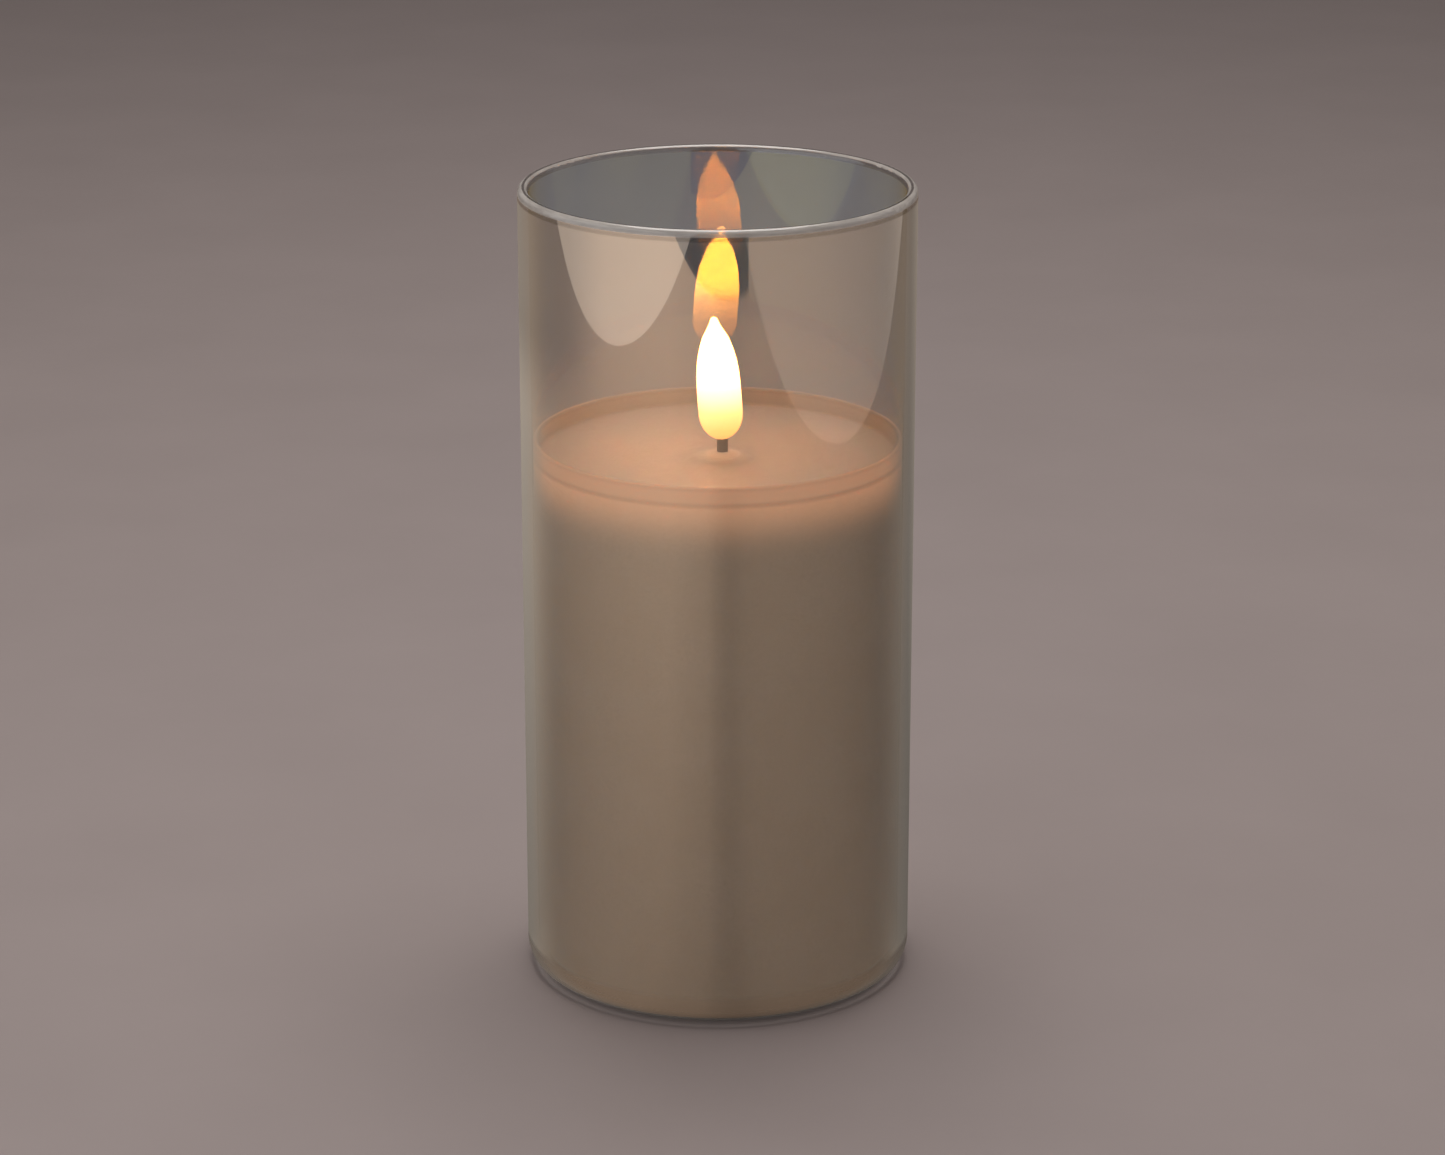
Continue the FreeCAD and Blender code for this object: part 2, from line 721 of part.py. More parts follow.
def cell_can(row):
    """Steel can of one cell, with its nub. The row is -1 or 1, and the cells face opposite ways."""
    facing = -row
    can_length = cell_length - cell_nub_length
    can_radius = cell_diameter / 2 - cell_jacket
    flat_end = -facing * cell_length / 2 + facing * cell_shift
    start = Vector(flat_end, row * cell_row, cell_axis_height)
    ahead = Vector(facing, 0, 0)
    can = Part.makeCylinder(can_radius, can_length, start, ahead)
    can = can.makeChamfer(cell_can_corner, [e for e in can.Edges if e.Closed])
    nub = Part.makeCylinder(cell_nub_diameter / 2, cell_nub_length + cell_can_corner,
                            start + ahead * (can_length - cell_can_corner), ahead)
    return can.fuse(nub)


def cell_film(row):
    """Printed film round the can."""
    facing = -row
    film_length = cell_length - cell_nub_length - 2 * cell_can_corner
    radius = cell_diameter / 2
    flat_end = -facing * cell_length / 2 + facing * (cell_shift + cell_can_corner)
    start = Vector(flat_end, row * cell_row, cell_axis_height)
    ahead = Vector(facing, 0, 0)
    outer = Part.makeCylinder(radius, film_length, start, ahead)
    bore_start = start - ahead * cut_overrun
    bore = Part.makeCylinder(radius - cell_jacket, film_length + 2 * cut_overrun,
                             bore_start, ahead)
    return outer.cut(bore)


def contact_plate(side, row, width):
    """Upright plate against the bay's end wall, with a solder tab if it has a place for one."""
    outer = side * bay_half_length
    inner = outer - side * contact_thickness
    low, high = sorted((outer, inner))
    bottom = floor_top
    top = bay_roof_bottom
    plate = block((low, row * cell_row - width / 2, bottom), (high, row * cell_row + width / 2, top))
    if (side, row) in tab_places:
        tab = block((low, row * cell_row - contact_tab_width / 2, top),
                    (high, row * cell_row + contact_tab_width / 2,
                     bay_roof_top + contact_tab_height))
        plate = plate.fuse(tab)
    return plate


def nub_dimple(side, row):
    """Round boss of a contact that meets the cell's nub."""
    inner = side * (bay_half_length - contact_thickness)
    return Part.makeCylinder(contact_dimple_radius, contact_gap,
                             Vector(inner, row * cell_row, cell_axis_height),
                             Vector(-side, 0, 0))


def positive_contact():
    """Contact on the nub of the front cell, at the right."""
    return contact_plate(1, -1, contact_width).fuse(nub_dimple(1, -1))


def negative_contact():
    """Contact that carries the spring of the rear cell, at the right."""
    return contact_plate(1, 1, contact_width)


def bridge_contact():
    """Plate at the left that joins the two cells."""
    width = 2 * cell_row + contact_width
    outer = -bay_half_length
    plate = block((outer, -width / 2, floor_top),
                  (outer + contact_thickness, width / 2, bay_roof_bottom))
    return plate.fuse(nub_dimple(-1, 1))


def contact_spring(side, row):
    """A conical spring from its plate to the flat end of a cell, in arcs of a quarter turn."""
    length = spring_length - 2 * spring_wire_radius
    quarters = 4 * spring_turns
    wire_start = side * (bay_half_length - contact_thickness - spring_wire_radius)

    def at(quarter):
        share = quarter / quarters
        radius = spring_base_radius + (spring_tip_radius - spring_base_radius) * share
        angle = quarter * math.pi / 2
        return Vector(wire_start - side * length * share,
                      row * cell_row + radius * math.cos(angle),
                      cell_axis_height + radius * math.sin(angle))

    turns = [Part.Arc(at(q), at(q + 0.5), at(q + 1)).toShape() for q in range(quarters)]
    ahead = turns[0].tangentAt(turns[0].FirstParameter)
    section = Part.Wire(Part.makeCircle(spring_wire_radius, at(0), ahead))
    return Part.Wire(turns).makePipeShell([section], True, False)


def contact_springs():
    """The two springs, one behind each cell's flat end."""
    return Part.makeCompound([contact_spring(1, 1), contact_spring(-1, -1)])


def timer_board():
    """Circuit board with holes for its screws and the switch's pins."""
    board = block((-board_length / 2, board_near, board_bottom),
                  (board_length / 2, board_far, board_top))
    low = board_bottom - cut_overrun
    high = board_top + cut_overrun
    holes = [rod(board_screw_radius + screw_hole_clearance, low, high, x, y)
             for x, y in board_screw_places]
    holes += [
        block((x - pin_width / 2, board_middle - pin_thickness / 2, low),
              (x + pin_width / 2, board_middle + pin_thickness / 2, high))
        for x in switch_pin_places()
    ]
    return board.cut(holes)


def switch_pin_places():
    """Places of the switch's four pins along X."""
    return [pin_spacing * (k - (pin_count - 1) / 2) for k in range(pin_count)]


def switch_shell():
    """Folded metal shell, open towards the board, slotted for the knob."""
    top = board_bottom - switch_clearance
    half_length = switch_length / 2
    half_width = switch_width / 2
    shell = block((-half_length, board_middle - half_width, switch_bottom),
                  (half_length, board_middle + half_width, top))
    wall = switch_shell_thickness
    room = block((-half_length + wall, board_middle - half_width + wall, switch_bottom + wall),
                 (half_length - wall, board_middle + half_width - wall, top + cut_overrun))
    slot = block((-switch_slot_length / 2, board_middle - switch_slot_width / 2,
                  switch_bottom - cut_overrun),
                 (switch_slot_length / 2, board_middle + switch_slot_width / 2,
                  switch_bottom + 2 * wall))
    return shell.cut([room, slot])


def switch_base():
    """Insulating base of the switch, against the board."""
    wall = switch_shell_thickness
    base = block((-switch_length / 2 + wall, board_middle - switch_width / 2 + wall,
                  board_bottom - switch_base_thickness),
                 (switch_length / 2 - wall, board_middle + switch_width / 2 - wall, board_bottom))
    pins = [
        block((x - pin_width / 2, board_middle - pin_thickness / 2,
               board_bottom - switch_base_thickness - cut_overrun),
              (x + pin_width / 2, board_middle + pin_thickness / 2, board_bottom + cut_overrun))
        for x in switch_pin_places()
    ]
    return base.cut(pins)


def switch_pins():
    """Four pins through base and board."""
    bottom = board_bottom - switch_base_thickness
    return Part.makeCompound([
        block((x - pin_width / 2, board_middle - pin_thickness / 2, bottom),
              (x + pin_width / 2, board_middle + pin_thickness / 2, bottom + pin_length))
        for x in switch_pin_places()
    ])


def switch_knob():
    """Slider inside the shell, with a ridged knob that reaches through the floor's slot."""
    slider_bottom = switch_bottom + switch_shell_thickness + switch_clearance / 2
    half_inside = switch_width / 2 - switch_shell_thickness - switch_clearance
    slider = block(
        (knob_rest_x - switch_slider_length / 2, board_middle - half_inside, slider_bottom),
        (knob_rest_x + switch_slider_length / 2, board_middle + half_inside,
         slider_bottom + switch_slider_height))
    stem = block((knob_rest_x - knob_length / 2, board_middle - knob_width / 2, knob_bottom),
                 (knob_rest_x + knob_length / 2, board_middle + knob_width / 2,
                  slider_bottom + switch_slider_height))
    ridges = [
        block((knob_rest_x + k * 2 * knob_ridge_width - knob_ridge_width / 2,
               board_middle - knob_width, knob_bottom - cut_overrun),
              (knob_rest_x + k * 2 * knob_ridge_width + knob_ridge_width / 2,
               board_middle + knob_width, knob_bottom + knob_ridge_depth))
        for k in (-1, 0, 1)
    ]
    return slider.fuse(stem).cut(ridges)


def switch_wiper():
    """Sprung bridge on the slider that joins two pins of the switch."""
    bottom = (switch_bottom + switch_shell_thickness + switch_clearance / 2
              + switch_slider_height)
    top = board_bottom - switch_base_thickness - switch_clearance / 2
    half = wiper_length / 2
    y = board_middle - wiper_width / 2
    outline = [
        Vector(knob_rest_x - half, y, top),
        Vector(knob_rest_x, y, bottom + wiper_thickness),
        Vector(knob_rest_x + half, y, top),
        Vector(knob_rest_x + half, y, top - wiper_thickness),
        Vector(knob_rest_x, y, bottom),
        Vector(knob_rest_x - half, y, top - wiper_thickness),
    ]
    face = Part.Face(Part.makePolygon(outline + outline[:1]))
    return face.extrude(Vector(0, wiper_width, 0))


def timer_chip():
    """Moulded body of the timer chip."""
    body = block(
        (chip_place - chip_length / 2, board_middle - chip_width / 2, board_top + chip_standoff),
        (chip_place + chip_length / 2, board_middle + chip_width / 2,
         board_top + chip_standoff + chip_height))
    return body.makeChamfer(chip_leg_thickness, [e for e in body.Edges
                                                 if e.BoundBox.ZMin > board_top + chip_height])


def chip_leg(x, side):
    """One gull-wing leg."""
    face_y = board_middle + side * chip_width / 2
    middle = board_top + chip_standoff + chip_height / 2
    bend = face_y + side * (chip_leg_reach - chip_leg_foot)
    end = face_y + side * chip_leg_reach
    t = chip_leg_thickness
    x0 = x - chip_leg_width / 2
    points = [
        (face_y, middle), (bend, middle), (bend, board_top + t), (end, board_top + t),
        (end, board_top), (bend - side * t, board_top), (bend - side * t, middle - t),
        (face_y, middle - t),
    ]
    outline = [Vector(x0, y, z) for y, z in points]
    face = Part.Face(Part.makePolygon(outline + outline[:1]))
    return face.extrude(Vector(chip_leg_width, 0, 0))


def chip_legs():
    """Eight legs, four a side."""
    return Part.makeCompound([
        chip_leg(chip_place + chip_leg_pitch * (k - 1.5), side)
        for k in range(4)
        for side in (-1, 1)
    ])


def crystal():
    """Watch crystal lying on the board, with two leads."""
    y = board_far - crystal_inset
    z = board_top + crystal_radius
    can = Part.makeCylinder(crystal_radius, crystal_length, Vector(crystal_place, y, z), ALONG_X)
    leads = [
        Part.makeCylinder(crystal_lead_radius, crystal_lead_length,
                          Vector(crystal_place, y + side * crystal_lead_spacing / 2, z),
                          Vector(-1, 0, 0))
        for side in (-1, 1)
    ]
    feet = [
        rod(crystal_lead_radius, board_top, z, crystal_place - crystal_lead_length,
            y + side * crystal_lead_spacing / 2)
        for side in (-1, 1)
    ]
    return can.fuse(leads + feet)


def capacitor():
    """Upright capacitor with a rolled groove."""
    r = capacitor_radius
    groove = capacitor_groove
    bottom = board_top
    waist = bottom + 4 * groove
    can = lathe([
        [(0, bottom), (r, bottom)],
        [(r, bottom), (r, waist - groove)],
        [(r, waist - groove), (r - groove, waist), (r, waist + groove)],
        [(r, waist + groove), (r, bottom + capacitor_height)],
        [(r, bottom + capacitor_height), (0, bottom + capacitor_height)],
        [(0, bottom + capacitor_height), (0, bottom)],
    ])
    can.translate(Vector(capacitor_place, board_near + capacitor_inset, 0))
    return can


def chip_resistors():
    """Row of chip resistors."""
    half_length = resistor_length / 2
    half_width = resistor_width / 2
    rows = [board_near + resistor_inset + k * resistor_spacing for k in range(resistor_count)]
    return Part.makeCompound([
        block((resistor_place - half_length, y - half_width, board_top),
              (resistor_place + half_length, y + half_width, board_top + resistor_height))
        for y in rows
    ])


PIECES = {
    "glass_cylinder": glass_cylinder(),
    "wax_pillar": wax_pillar(),
    "flame_diffuser": flame_diffuser(),
    "led_lamp": led_lamp(),
    "led_leads": led_leads(),
    "wick_tube": wick_tube(),
    "lamp_holder": lamp_holder(),
    "joint_sleeves": joint_sleeves(),
    "lamp_wire_red": lamp_wire(-1),
    "lamp_wire_black": lamp_wire(1),
    "base_housing": base_housing(),
    "housing_cover": housing_cover(),
    "cover_screws": cover_screws(),
    "adhesive_ring": adhesive_ring(),
    "battery_door": battery_door(),
    "front_cell_can": cell_can(-1),
    "front_cell_film": cell_film(-1),
    "rear_cell_can": cell_can(1),
    "rear_cell_film": cell_film(1),
    "positive_contact": positive_contact(),
    "negative_contact": negative_contact(),
    "bridge_contact": bridge_contact(),
    "contact_springs": contact_springs(),
    "battery_wire_red": battery_wire(-1),
    "battery_wire_black": battery_wire(1),
    "timer_board": timer_board(),
    "board_screws": board_screws(),
    "timer_chip": timer_chip(),
    "chip_legs": chip_legs(),
    "crystal": crystal(),
    "capacitor": capacitor(),
    "chip_resistors": chip_resistors(),
    "switch_shell": switch_shell(),
    "switch_base": switch_base(),
    "switch_pins": switch_pins(),
    "switch_knob": switch_knob(),
    "switch_wiper": switch_wiper(),
}

os.makedirs("parts", exist_ok=True)
for name, shape in PIECES.items():
    shape.exportStep(os.path.join("parts", name + ".step"))
    print(name, len(shape.Solids), round(shape.Volume, 1), shape.isValid())
print("glass", round(2 * glass_radius, 2), "by", glass_height)
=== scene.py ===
# %% [markdown]
# # An LED candle in smoked, half-mirrored glass
# The object is a drinking-glass shape with a thin smoky metal film inside.
# A hollow pillar of real wax stands in it, with a plastic flame on a short
# wick tube. Cells, timer board and switch sit in a housing under the wax.
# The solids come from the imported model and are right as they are, so this
# lesson gives them their finishes, a stage, light and the camera.

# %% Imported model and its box
from math import cos, pi, radians, sin

import bpy
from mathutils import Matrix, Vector


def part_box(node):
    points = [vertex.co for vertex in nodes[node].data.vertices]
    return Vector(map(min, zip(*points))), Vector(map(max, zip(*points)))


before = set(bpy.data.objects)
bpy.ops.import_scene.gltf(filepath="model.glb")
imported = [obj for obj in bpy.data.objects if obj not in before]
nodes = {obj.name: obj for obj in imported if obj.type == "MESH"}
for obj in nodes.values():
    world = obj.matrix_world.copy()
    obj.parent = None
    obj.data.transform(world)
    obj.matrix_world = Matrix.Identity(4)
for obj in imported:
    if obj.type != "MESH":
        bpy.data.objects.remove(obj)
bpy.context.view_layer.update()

# %% [markdown]
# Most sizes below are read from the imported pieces, so that a finish which
# changes with height or radius follows the solids. Blender works in metres,
# and these small things are easier to think of in millimetres.

# %% Sizes that the finishes follow
MM = 0.001


def low(node, axis):
    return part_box(node)[0][axis]


def high(node, axis):
    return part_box(node)[1][axis]


glass_radius = high("glass_cylinder", 0) / MM
glass_top = high("glass_cylinder", 2) / MM
wax_radius = high("wax_pillar", 0) / MM
wax_top = high("wax_pillar", 2) / MM
lip_height = 3.3
wax_floor = wax_top - lip_height
flame_foot = low("flame_diffuser", 2) / MM
flame_tip = high("flame_diffuser", 2) / MM
print("glass radius, height:", round(glass_radius, 1), round(glass_top, 1))
print("wax radius, top, floor:", round(wax_radius, 1), round(wax_top, 1), round(wax_floor, 1))
print("flame from, to:", round(flame_foot, 1), round(flame_tip, 1))

# %% [markdown]
# ## Camera
# The photograph looks down at the candle by 18 degrees from three quarters
# of a metre, with a long lens. The rim's ellipse gives the angle, and the
# way the sides draw together towards the foot gives the distance.

# %% Camera
look_down = 18.05
camera = bpy.data.objects.new("camera", bpy.data.cameras.new("camera"))
bpy.context.scene.collection.objects.link(camera)
camera.data.sensor_fit = "HORIZONTAL"
camera.data.sensor_width = 36
camera.data.lens = 102.87
camera.location = (0.0009, -0.7465, 0.3201)
camera.rotation_euler = (radians(90 - look_down), 0, 0)
camera.data.clip_start = 0.01
camera.data.clip_end = 50
bpy.context.scene.camera = camera
print("camera at", tuple(camera.location), "lens", camera.data.lens)

# %% [markdown]
# ## Sums with sockets
# Shader maths is easier to read as ordinary sums. This class wraps one
# socket. Its operators and `maths` add Math nodes, and `node` adds any
# other kind: first come its settings, then the values or links of its
# sockets. A colour ramp's `stops` are pairs of a position and a colour.

# %% One class for shader sums
class Wire:
    def __init__(self, tree, socket=None):
        self.tree = tree
        self.socket = socket

    def node(self, kind, settings, sockets, output=0):
        made = self.tree.nodes.new("ShaderNode" + kind)
        for name, value in settings.items():
            if name == "stops":
                ramp = made.color_ramp.elements
                while len(ramp) < len(value):
                    ramp.new(1)
                for stop, (position, colour) in zip(ramp, value):
                    stop.position = position
                    stop.color = (*colour, 1)
            else:
                setattr(made, name, value)
        for name, value in sockets.items():
            if isinstance(value, Wire):
                self.tree.links.new(value.socket, made.inputs[name])
            else:
                made.inputs[name].default_value = value
        return Wire(self.tree, made.outputs[output] if made.outputs else None)

    def maths(self, operation, first, second=0.0):
        return self.node("Math", {"operation": operation}, {0: first, 1: second})

    def __add__(self, other):
        return self.maths("ADD", self, other)

    __radd__ = __add__

    def __sub__(self, other):
        return self.maths("SUBTRACT", self, other)

    def __rsub__(self, other):
        return self.maths("SUBTRACT", other, self)

    def __mul__(self, other):
        return self.maths("MULTIPLY", self, other)

    __rmul__ = __mul__

    def __truediv__(self, other):
        return self.maths("DIVIDE", self, other)

    def __pow__(self, other):
        return self.maths("POWER", self, other)

    def __lt__(self, other):
        return self.maths("LESS_THAN", self, other)


print("operators: + - * / ** <")

# %% [markdown]
# Each finish is a node tree of its own. `start` opens one under the name of
# its slot, and `close` leads the finished shader to the surface. `place`
# gives the point on the piece in millimetres, `split` takes it apart into
# x, y and z, and `radius` is a distance from the candle's axis.

# %% Words for a finish and its places
finishes = {}


def start(slot):
    material = bpy.data.materials.new(slot)
    material.use_nodes = True
    material.node_tree.nodes.clear()
    finishes[slot] = material
    return Wire(material.node_tree)


def close(pen, shader):
    pen.node("OutputMaterial", {}, {"Surface": shader})


def place(pen, stretch=(1, 1, 1)):
    point = pen.node("TexCoord", {}, {}, "Object")
    scale = tuple(1 / MM * s for s in stretch)
    return pen.node("VectorMath", {"operation": "MULTIPLY"}, {0: point, 1: scale})


def split(pen, point):
    parts = pen.node("SeparateXYZ", {}, {0: point}).socket.node.outputs
    return [Wire(pen.tree, part) for part in parts]


def radius(x, y):
    return (x * x + y * y) ** 0.5


print("a point is in millimetres:", 1 / MM, "to the metre")

# %% [markdown]
# No real finish is even, so each one below mixes near colours and glosses.
# `noise` is a soft random value about 0.5, and its scale is in blots per
# millimetre. `fade` climbs smoothly from 0 to 1 between two levels, and it
# falls where the first level is the higher one. `blend` mixes two colours,
# and `bump` gives a small relief.

# %% Words for uneven surfaces
def noise(pen, point, scale, detail=2.0, roughness=0.5):
    return pen.node(
        "TexNoise",
        {"noise_dimensions": "3D"},
        {"Vector": point, "Scale": scale, "Detail": detail, "Roughness": roughness},
    )


def fade(pen, value, at_zero, at_one):
    return pen.node(
        "MapRange",
        {"interpolation_type": "SMOOTHSTEP", "clamp": True},
        {0: value, 1: at_zero, 2: at_one, 3: 0.0, 4: 1.0},
    )


def blend(pen, share, first, second):
    colours = {0: share, 6: first, 7: second}
    for key in (6, 7):
        if not isinstance(colours[key], Wire):
            colours[key] = (*colours[key], 1)
    return pen.node("Mix", {"data_type": "RGBA"}, colours, 2)


def bump(pen, height, depth_mm):
    return pen.node("Bump", {}, {"Height": height, "Strength": 1.0, "Distance": depth_mm * MM})


print("uneven surfaces: noise, fade, blend, bump")

# %% [markdown]
# Blender's Principled shader covers wax, plastic, paint and metal alike.
# `coated` makes one and sets its sockets by their names in lower case.
# `clear` lets light straight by, and `mixed` shares a spot out between two
# shaders.

# %% Words for shaders
def coated(pen, colour, **sockets):
    names = {word: word.replace("_", " ").title() for word in sockets}
    names["specular_ior_level"] = "Specular IOR Level"
    values = {names[word]: value for word, value in sockets.items()}
    if not isinstance(colour, Wire):
        colour = (*colour, 1)
    return pen.node("BsdfPrincipled", {}, {"Base Color": colour, **values})


def clear(pen, colour):
    return pen.node("BsdfTransparent", {}, {"Color": (*colour, 1)})


def mixed(pen, share, first, second):
    return pen.node("MixShader", {}, {0: share, 1: first, 2: second})


print("shaders: coated, clear, mixed")

# %% [markdown]
# ## Stage
# A plain pale table. It is a little satin, as a painted board is, and
# faintly mottled. The table is a large round sheet: its edge stays far out
# of the picture, and it lies a hair under the glass, so that the two never
# share one plane.

# %% Table
table_radius = 4.0
table_sides = 64
table_drop = 0.2 * MM
table_dark = (0.52, 0.432, 0.411)
table_pale = (0.58, 0.484, 0.461)


def new_object(name, mesh):
    made = bpy.data.objects.new(name, mesh)
    bpy.context.scene.collection.objects.link(made)
    return made


def sheet(name, corners):
    mesh = bpy.data.meshes.new(name)
    mesh.from_pydata(corners, [], [tuple(range(len(corners)))])
    return new_object(name, mesh)


steps = [2 * pi * n / table_sides for n in range(table_sides)]
table = sheet("table", [(table_radius * cos(a), table_radius * sin(a), -table_drop) for a in steps])

pen = start("table_paint")
mottle = noise(pen, place(pen), 0.02, 4)
close(
    pen,
    coated(
        pen,
        blend(pen, mottle, table_dark, table_pale),
        roughness=0.42 + 0.08 * noise(pen, place(pen), 0.3),
        specular_ior_level=0.5,
        normal=bump(pen, noise(pen, place(pen), 1.2, 4), 0.02),
    ),
)
table.data.materials.append(finishes.pop("table_paint"))
print("table radius", table_radius, "m")

# %% [markdown]
# The light is one big soft box overhead and two panels. Each panel leaves
# a U on the front of the glass: the mirrored view runs downhill, so it
# leaves the panel through its bottom edge, soonest where the panel is
# nearest. From the two U shapes come the panels' places. The camera
# doesn't see the lamps themselves.

# %% Lamps
def panel(name, middle, aim, width, height, radiance, colour):
    lamp = bpy.data.lights.new(name, "AREA")
    lamp.shape = "RECTANGLE"
    lamp.size = width
    lamp.size_y = height
    lamp.energy = radiance * pi * width * height
    lamp.color = colour
    made = new_object(name, lamp)
    made.location = middle
    way = Vector(middle) - Vector(aim)
    made.rotation_euler = way.to_track_quat("Z", "Y").to_euler()
    made.visible_camera = False
    print(name, "power", round(lamp.energy, 2), "W")


def side_panel(name, turn, distance, bottom, width, radiance, colour):
    height = 0.42
    x, y = distance * sin(turn), -distance * cos(turn)
    z = bottom + height / 2
    panel(name, (x, y, z), (0, 0, z), width, height, radiance, colour)


panel(
    "soft_box",
    middle=(0, 0.25, 1.0),
    aim=(0, 0.2, 0),
    width=0.7,
    height=0.7,
    radiance=2.85,
    colour=(1, 0.98, 0.96),
)
side_panel(
    "left_panel",
    turn=radians(-58),
    distance=0.34,
    bottom=0.0494,
    width=0.70,
    radiance=0.42,
    colour=(0.92, 0.96, 1),
)
side_panel(
    "right_panel",
    turn=radians(72),
    distance=0.27,
    bottom=0.0423,
    width=0.96,
    radiance=0.15,
    colour=(0.96, 0.97, 1),
)

# %% [markdown]
# Photographers also lay cards where only the gloss can see them. Here it
# is a round sheet on the table that is lit from within, like a light box.
# The camera and the wax don't see it, the glass mirrors it, and it gives
# light only upwards. So it shades the front of the glass without lighting
# the stage. It has a hole where the candle stands.

# %% Round card that only the gloss sees
card_lift = 0.5 * MM
card_near, card_far = 0.0352, 1.30
card_step = 6


def round_foot(turn, distance, height=card_lift):
    """A point round the candle, by its turn from the camera's side and its distance from the axis."""
    return (distance * sin(radians(turn)), -distance * cos(radians(turn)), height)


def for_gloss_only(piece):
    piece.visible_camera = False
    piece.visible_diffuse = False
    piece.visible_shadow = False
    piece.visible_transmission = False


turns = range(-180, 180, card_step)
count = len(turns)
ring = [round_foot(t, card_near) for t in turns] + [round_foot(t, card_far) for t in turns]
faces = [(n, count + n, count + (n + 1) % count, (n + 1) % count) for n in range(count)]
mesh = bpy.data.meshes.new("graded_card")
mesh.from_pydata(ring, [], faces)
graded_card = new_object("graded_card", mesh)
for_gloss_only(graded_card)
print("card looks up:", mesh.polygons[0].normal.z > 0)

# %% [markdown]
# The card's light changes with the turn round the candle. It is strong on
# the left, has a soft dark line just right of the camera and is duller on
# the right: the glass shows it as the light half, the dark line and the
# darker half of the body. Each pair is a turn in degrees and the light
# there. Further out the card grows lighter and a little warmer, and behind
# the left panel it is dimmed again.

# %% Light of the round card
card_light = [
    (-180, 0.27),
    (-150, 0.255),
    (-119, 0.25),
    (-100, 0.255),
    (-84, 0.30),
    (-62, 0.36),
    (-43, 0.40),
    (-27, 0.417),
    (-13, 0.367),
    (-5, 0.34),
    (-1, 0.285),
    (4, 0.25),
    (8, 0.245),
    (15, 0.275),
    (23, 0.29),
    (40, 0.28),
    (62, 0.25),
    (86, 0.20),
    (100, 0.165),
    (145, 0.13),
    (180, 0.24),
]
warm_white = (1.0, 0.88, 0.75)
far_tint = (1.0, 0.955, 0.93)
full_reach = 560
near_share = 0.6

pen = start("graded_card")
x, y, z = split(pen, place(pen))
distance = radius(x, y)
turn = pen.maths("ARCTAN2", x, -1 * y) * (180 / pi)
stops = [((t + 180) / 360, tuple(light * c for c in warm_white)) for t, light in card_light]
shade = pen.node("ValToRGB", {"stops": stops}, {0: turn / 360 + 0.5})
behind_panel = fade(pen, turn, -62, -95) * fade(pen, distance, 400, 520)
on_left = fade(pen, turn, 12, -12)
way_out = pen.maths("MINIMUM", distance / full_reach, 1)
left_reach = near_share + 0.92 * way_out
right_reach = near_share + 0.56 * way_out ** 0.6
reach = (right_reach + on_left * (left_reach - right_reach)) * (1 - 0.4 * behind_panel)
shade = pen.node("VectorMath", {"operation": "SCALE"}, {0: shade, "Scale": reach})
warmer = blend(pen, fade(pen, distance, 200, full_reach), (1, 1, 1), far_tint)
shade = pen.node("VectorMath", {"operation": "MULTIPLY"}, {0: shade, 1: warmer})
lit = coated(pen, (0.02, 0.02, 0.02), roughness=0.9, emission_color=shade, emission_strength=1.0)
below = pen.node("NewGeometry", {}, {}, "Backfacing")
close(pen, mixed(pen, below, lit, clear(pen, (1, 1, 1))))
graded_card.data.materials.append(finishes.pop("graded_card"))
print("card light from", min(light for _, light in card_light), "to", max(light for _, light in card_light))

# %% [markdown]
# A black card stands on the table between camera and candle. The camera
# looks through it, but the glass mirrors it as the dark patch behind the
# flame's first mirror image. It is covered in felt, so it throws almost
# nothing back.

# %% Black card
card_height = 0.4
card_left = (-24, 0.68)
card_right = (17, 0.60)
black_card = sheet(
    "black_card",
    [
        round_foot(*card_left, 0),
        round_foot(*card_right, 0),
        round_foot(*card_right, card_height),
        round_foot(*card_left, card_height),
    ],
)
for_gloss_only(black_card)

pen = start("black_card")
felt = noise(pen, place(pen), 0.8, 3)
close(pen, coated(pen, blend(pen, felt, (0.018, 0.018, 0.018), (0.03, 0.03, 0.03)), roughness=0.95))
black_card.data.materials.append(finishes.pop("black_card"))
print("black card from turn", card_left[0], "to", card_right[0])

# %% [markdown]
# The room round the table is dim and faintly warm. It fills the shadows a
# little and gives the bare rim something soft to mirror. The Standard view
# keeps the picture's bright parts as plain as the photograph's.

# %% Dim studio round the table
world = bpy.data.worlds.new("studio")
world.use_nodes = True
world.node_tree.nodes["Background"].inputs["Color"].default_value = (0.20, 0.185, 0.185, 1)
world.node_tree.nodes["Background"].inputs["Strength"].default_value = 0.55
bpy.context.scene.world = world
bpy.context.scene.view_settings.view_transform = "Standard"
print("view:", bpy.context.scene.view_settings.view_transform)

# %% [markdown]
# ## Smoked glass
# The real glass is clear, with a metal film inside that is thin enough to
# see through: light that meets it is partly thrown back and partly let
# by. A thick wall of Blender's Glass shader would keep the lamps' light
# from the wax, so the wall is built as thin skins. Each skin is a mix of
# Transparent, which lets light straight by, and Glossy, which mirrors.
# Both depend on how flat the look along the glass is, so that is measured
# here first.

# %% Mirror, and the look along the glass
def mirror(pen, colour, roughness):
    sockets = {"Color": (*colour, 1), "Roughness": roughness}
    return pen.node("BsdfAnisotropic", {"distribution": "GGX"}, sockets)


bare_glass = 0.04
pen = start("smoked_glass")
point = place(pen)
x, y, z = split(pen, point)
from_axis = radius(x, y)
facing = pen.node("LayerWeight", {}, {"Blend": 0.5}, "Facing")
grazing = facing ** 5
side = fade(pen, facing, 0.46, 0.72)
smear = 0.012 + 0.03 * fade(pen, noise(pen, point, 0.05, 3), 0.45, 0.75)
print("bare glass mirrors", bare_glass)

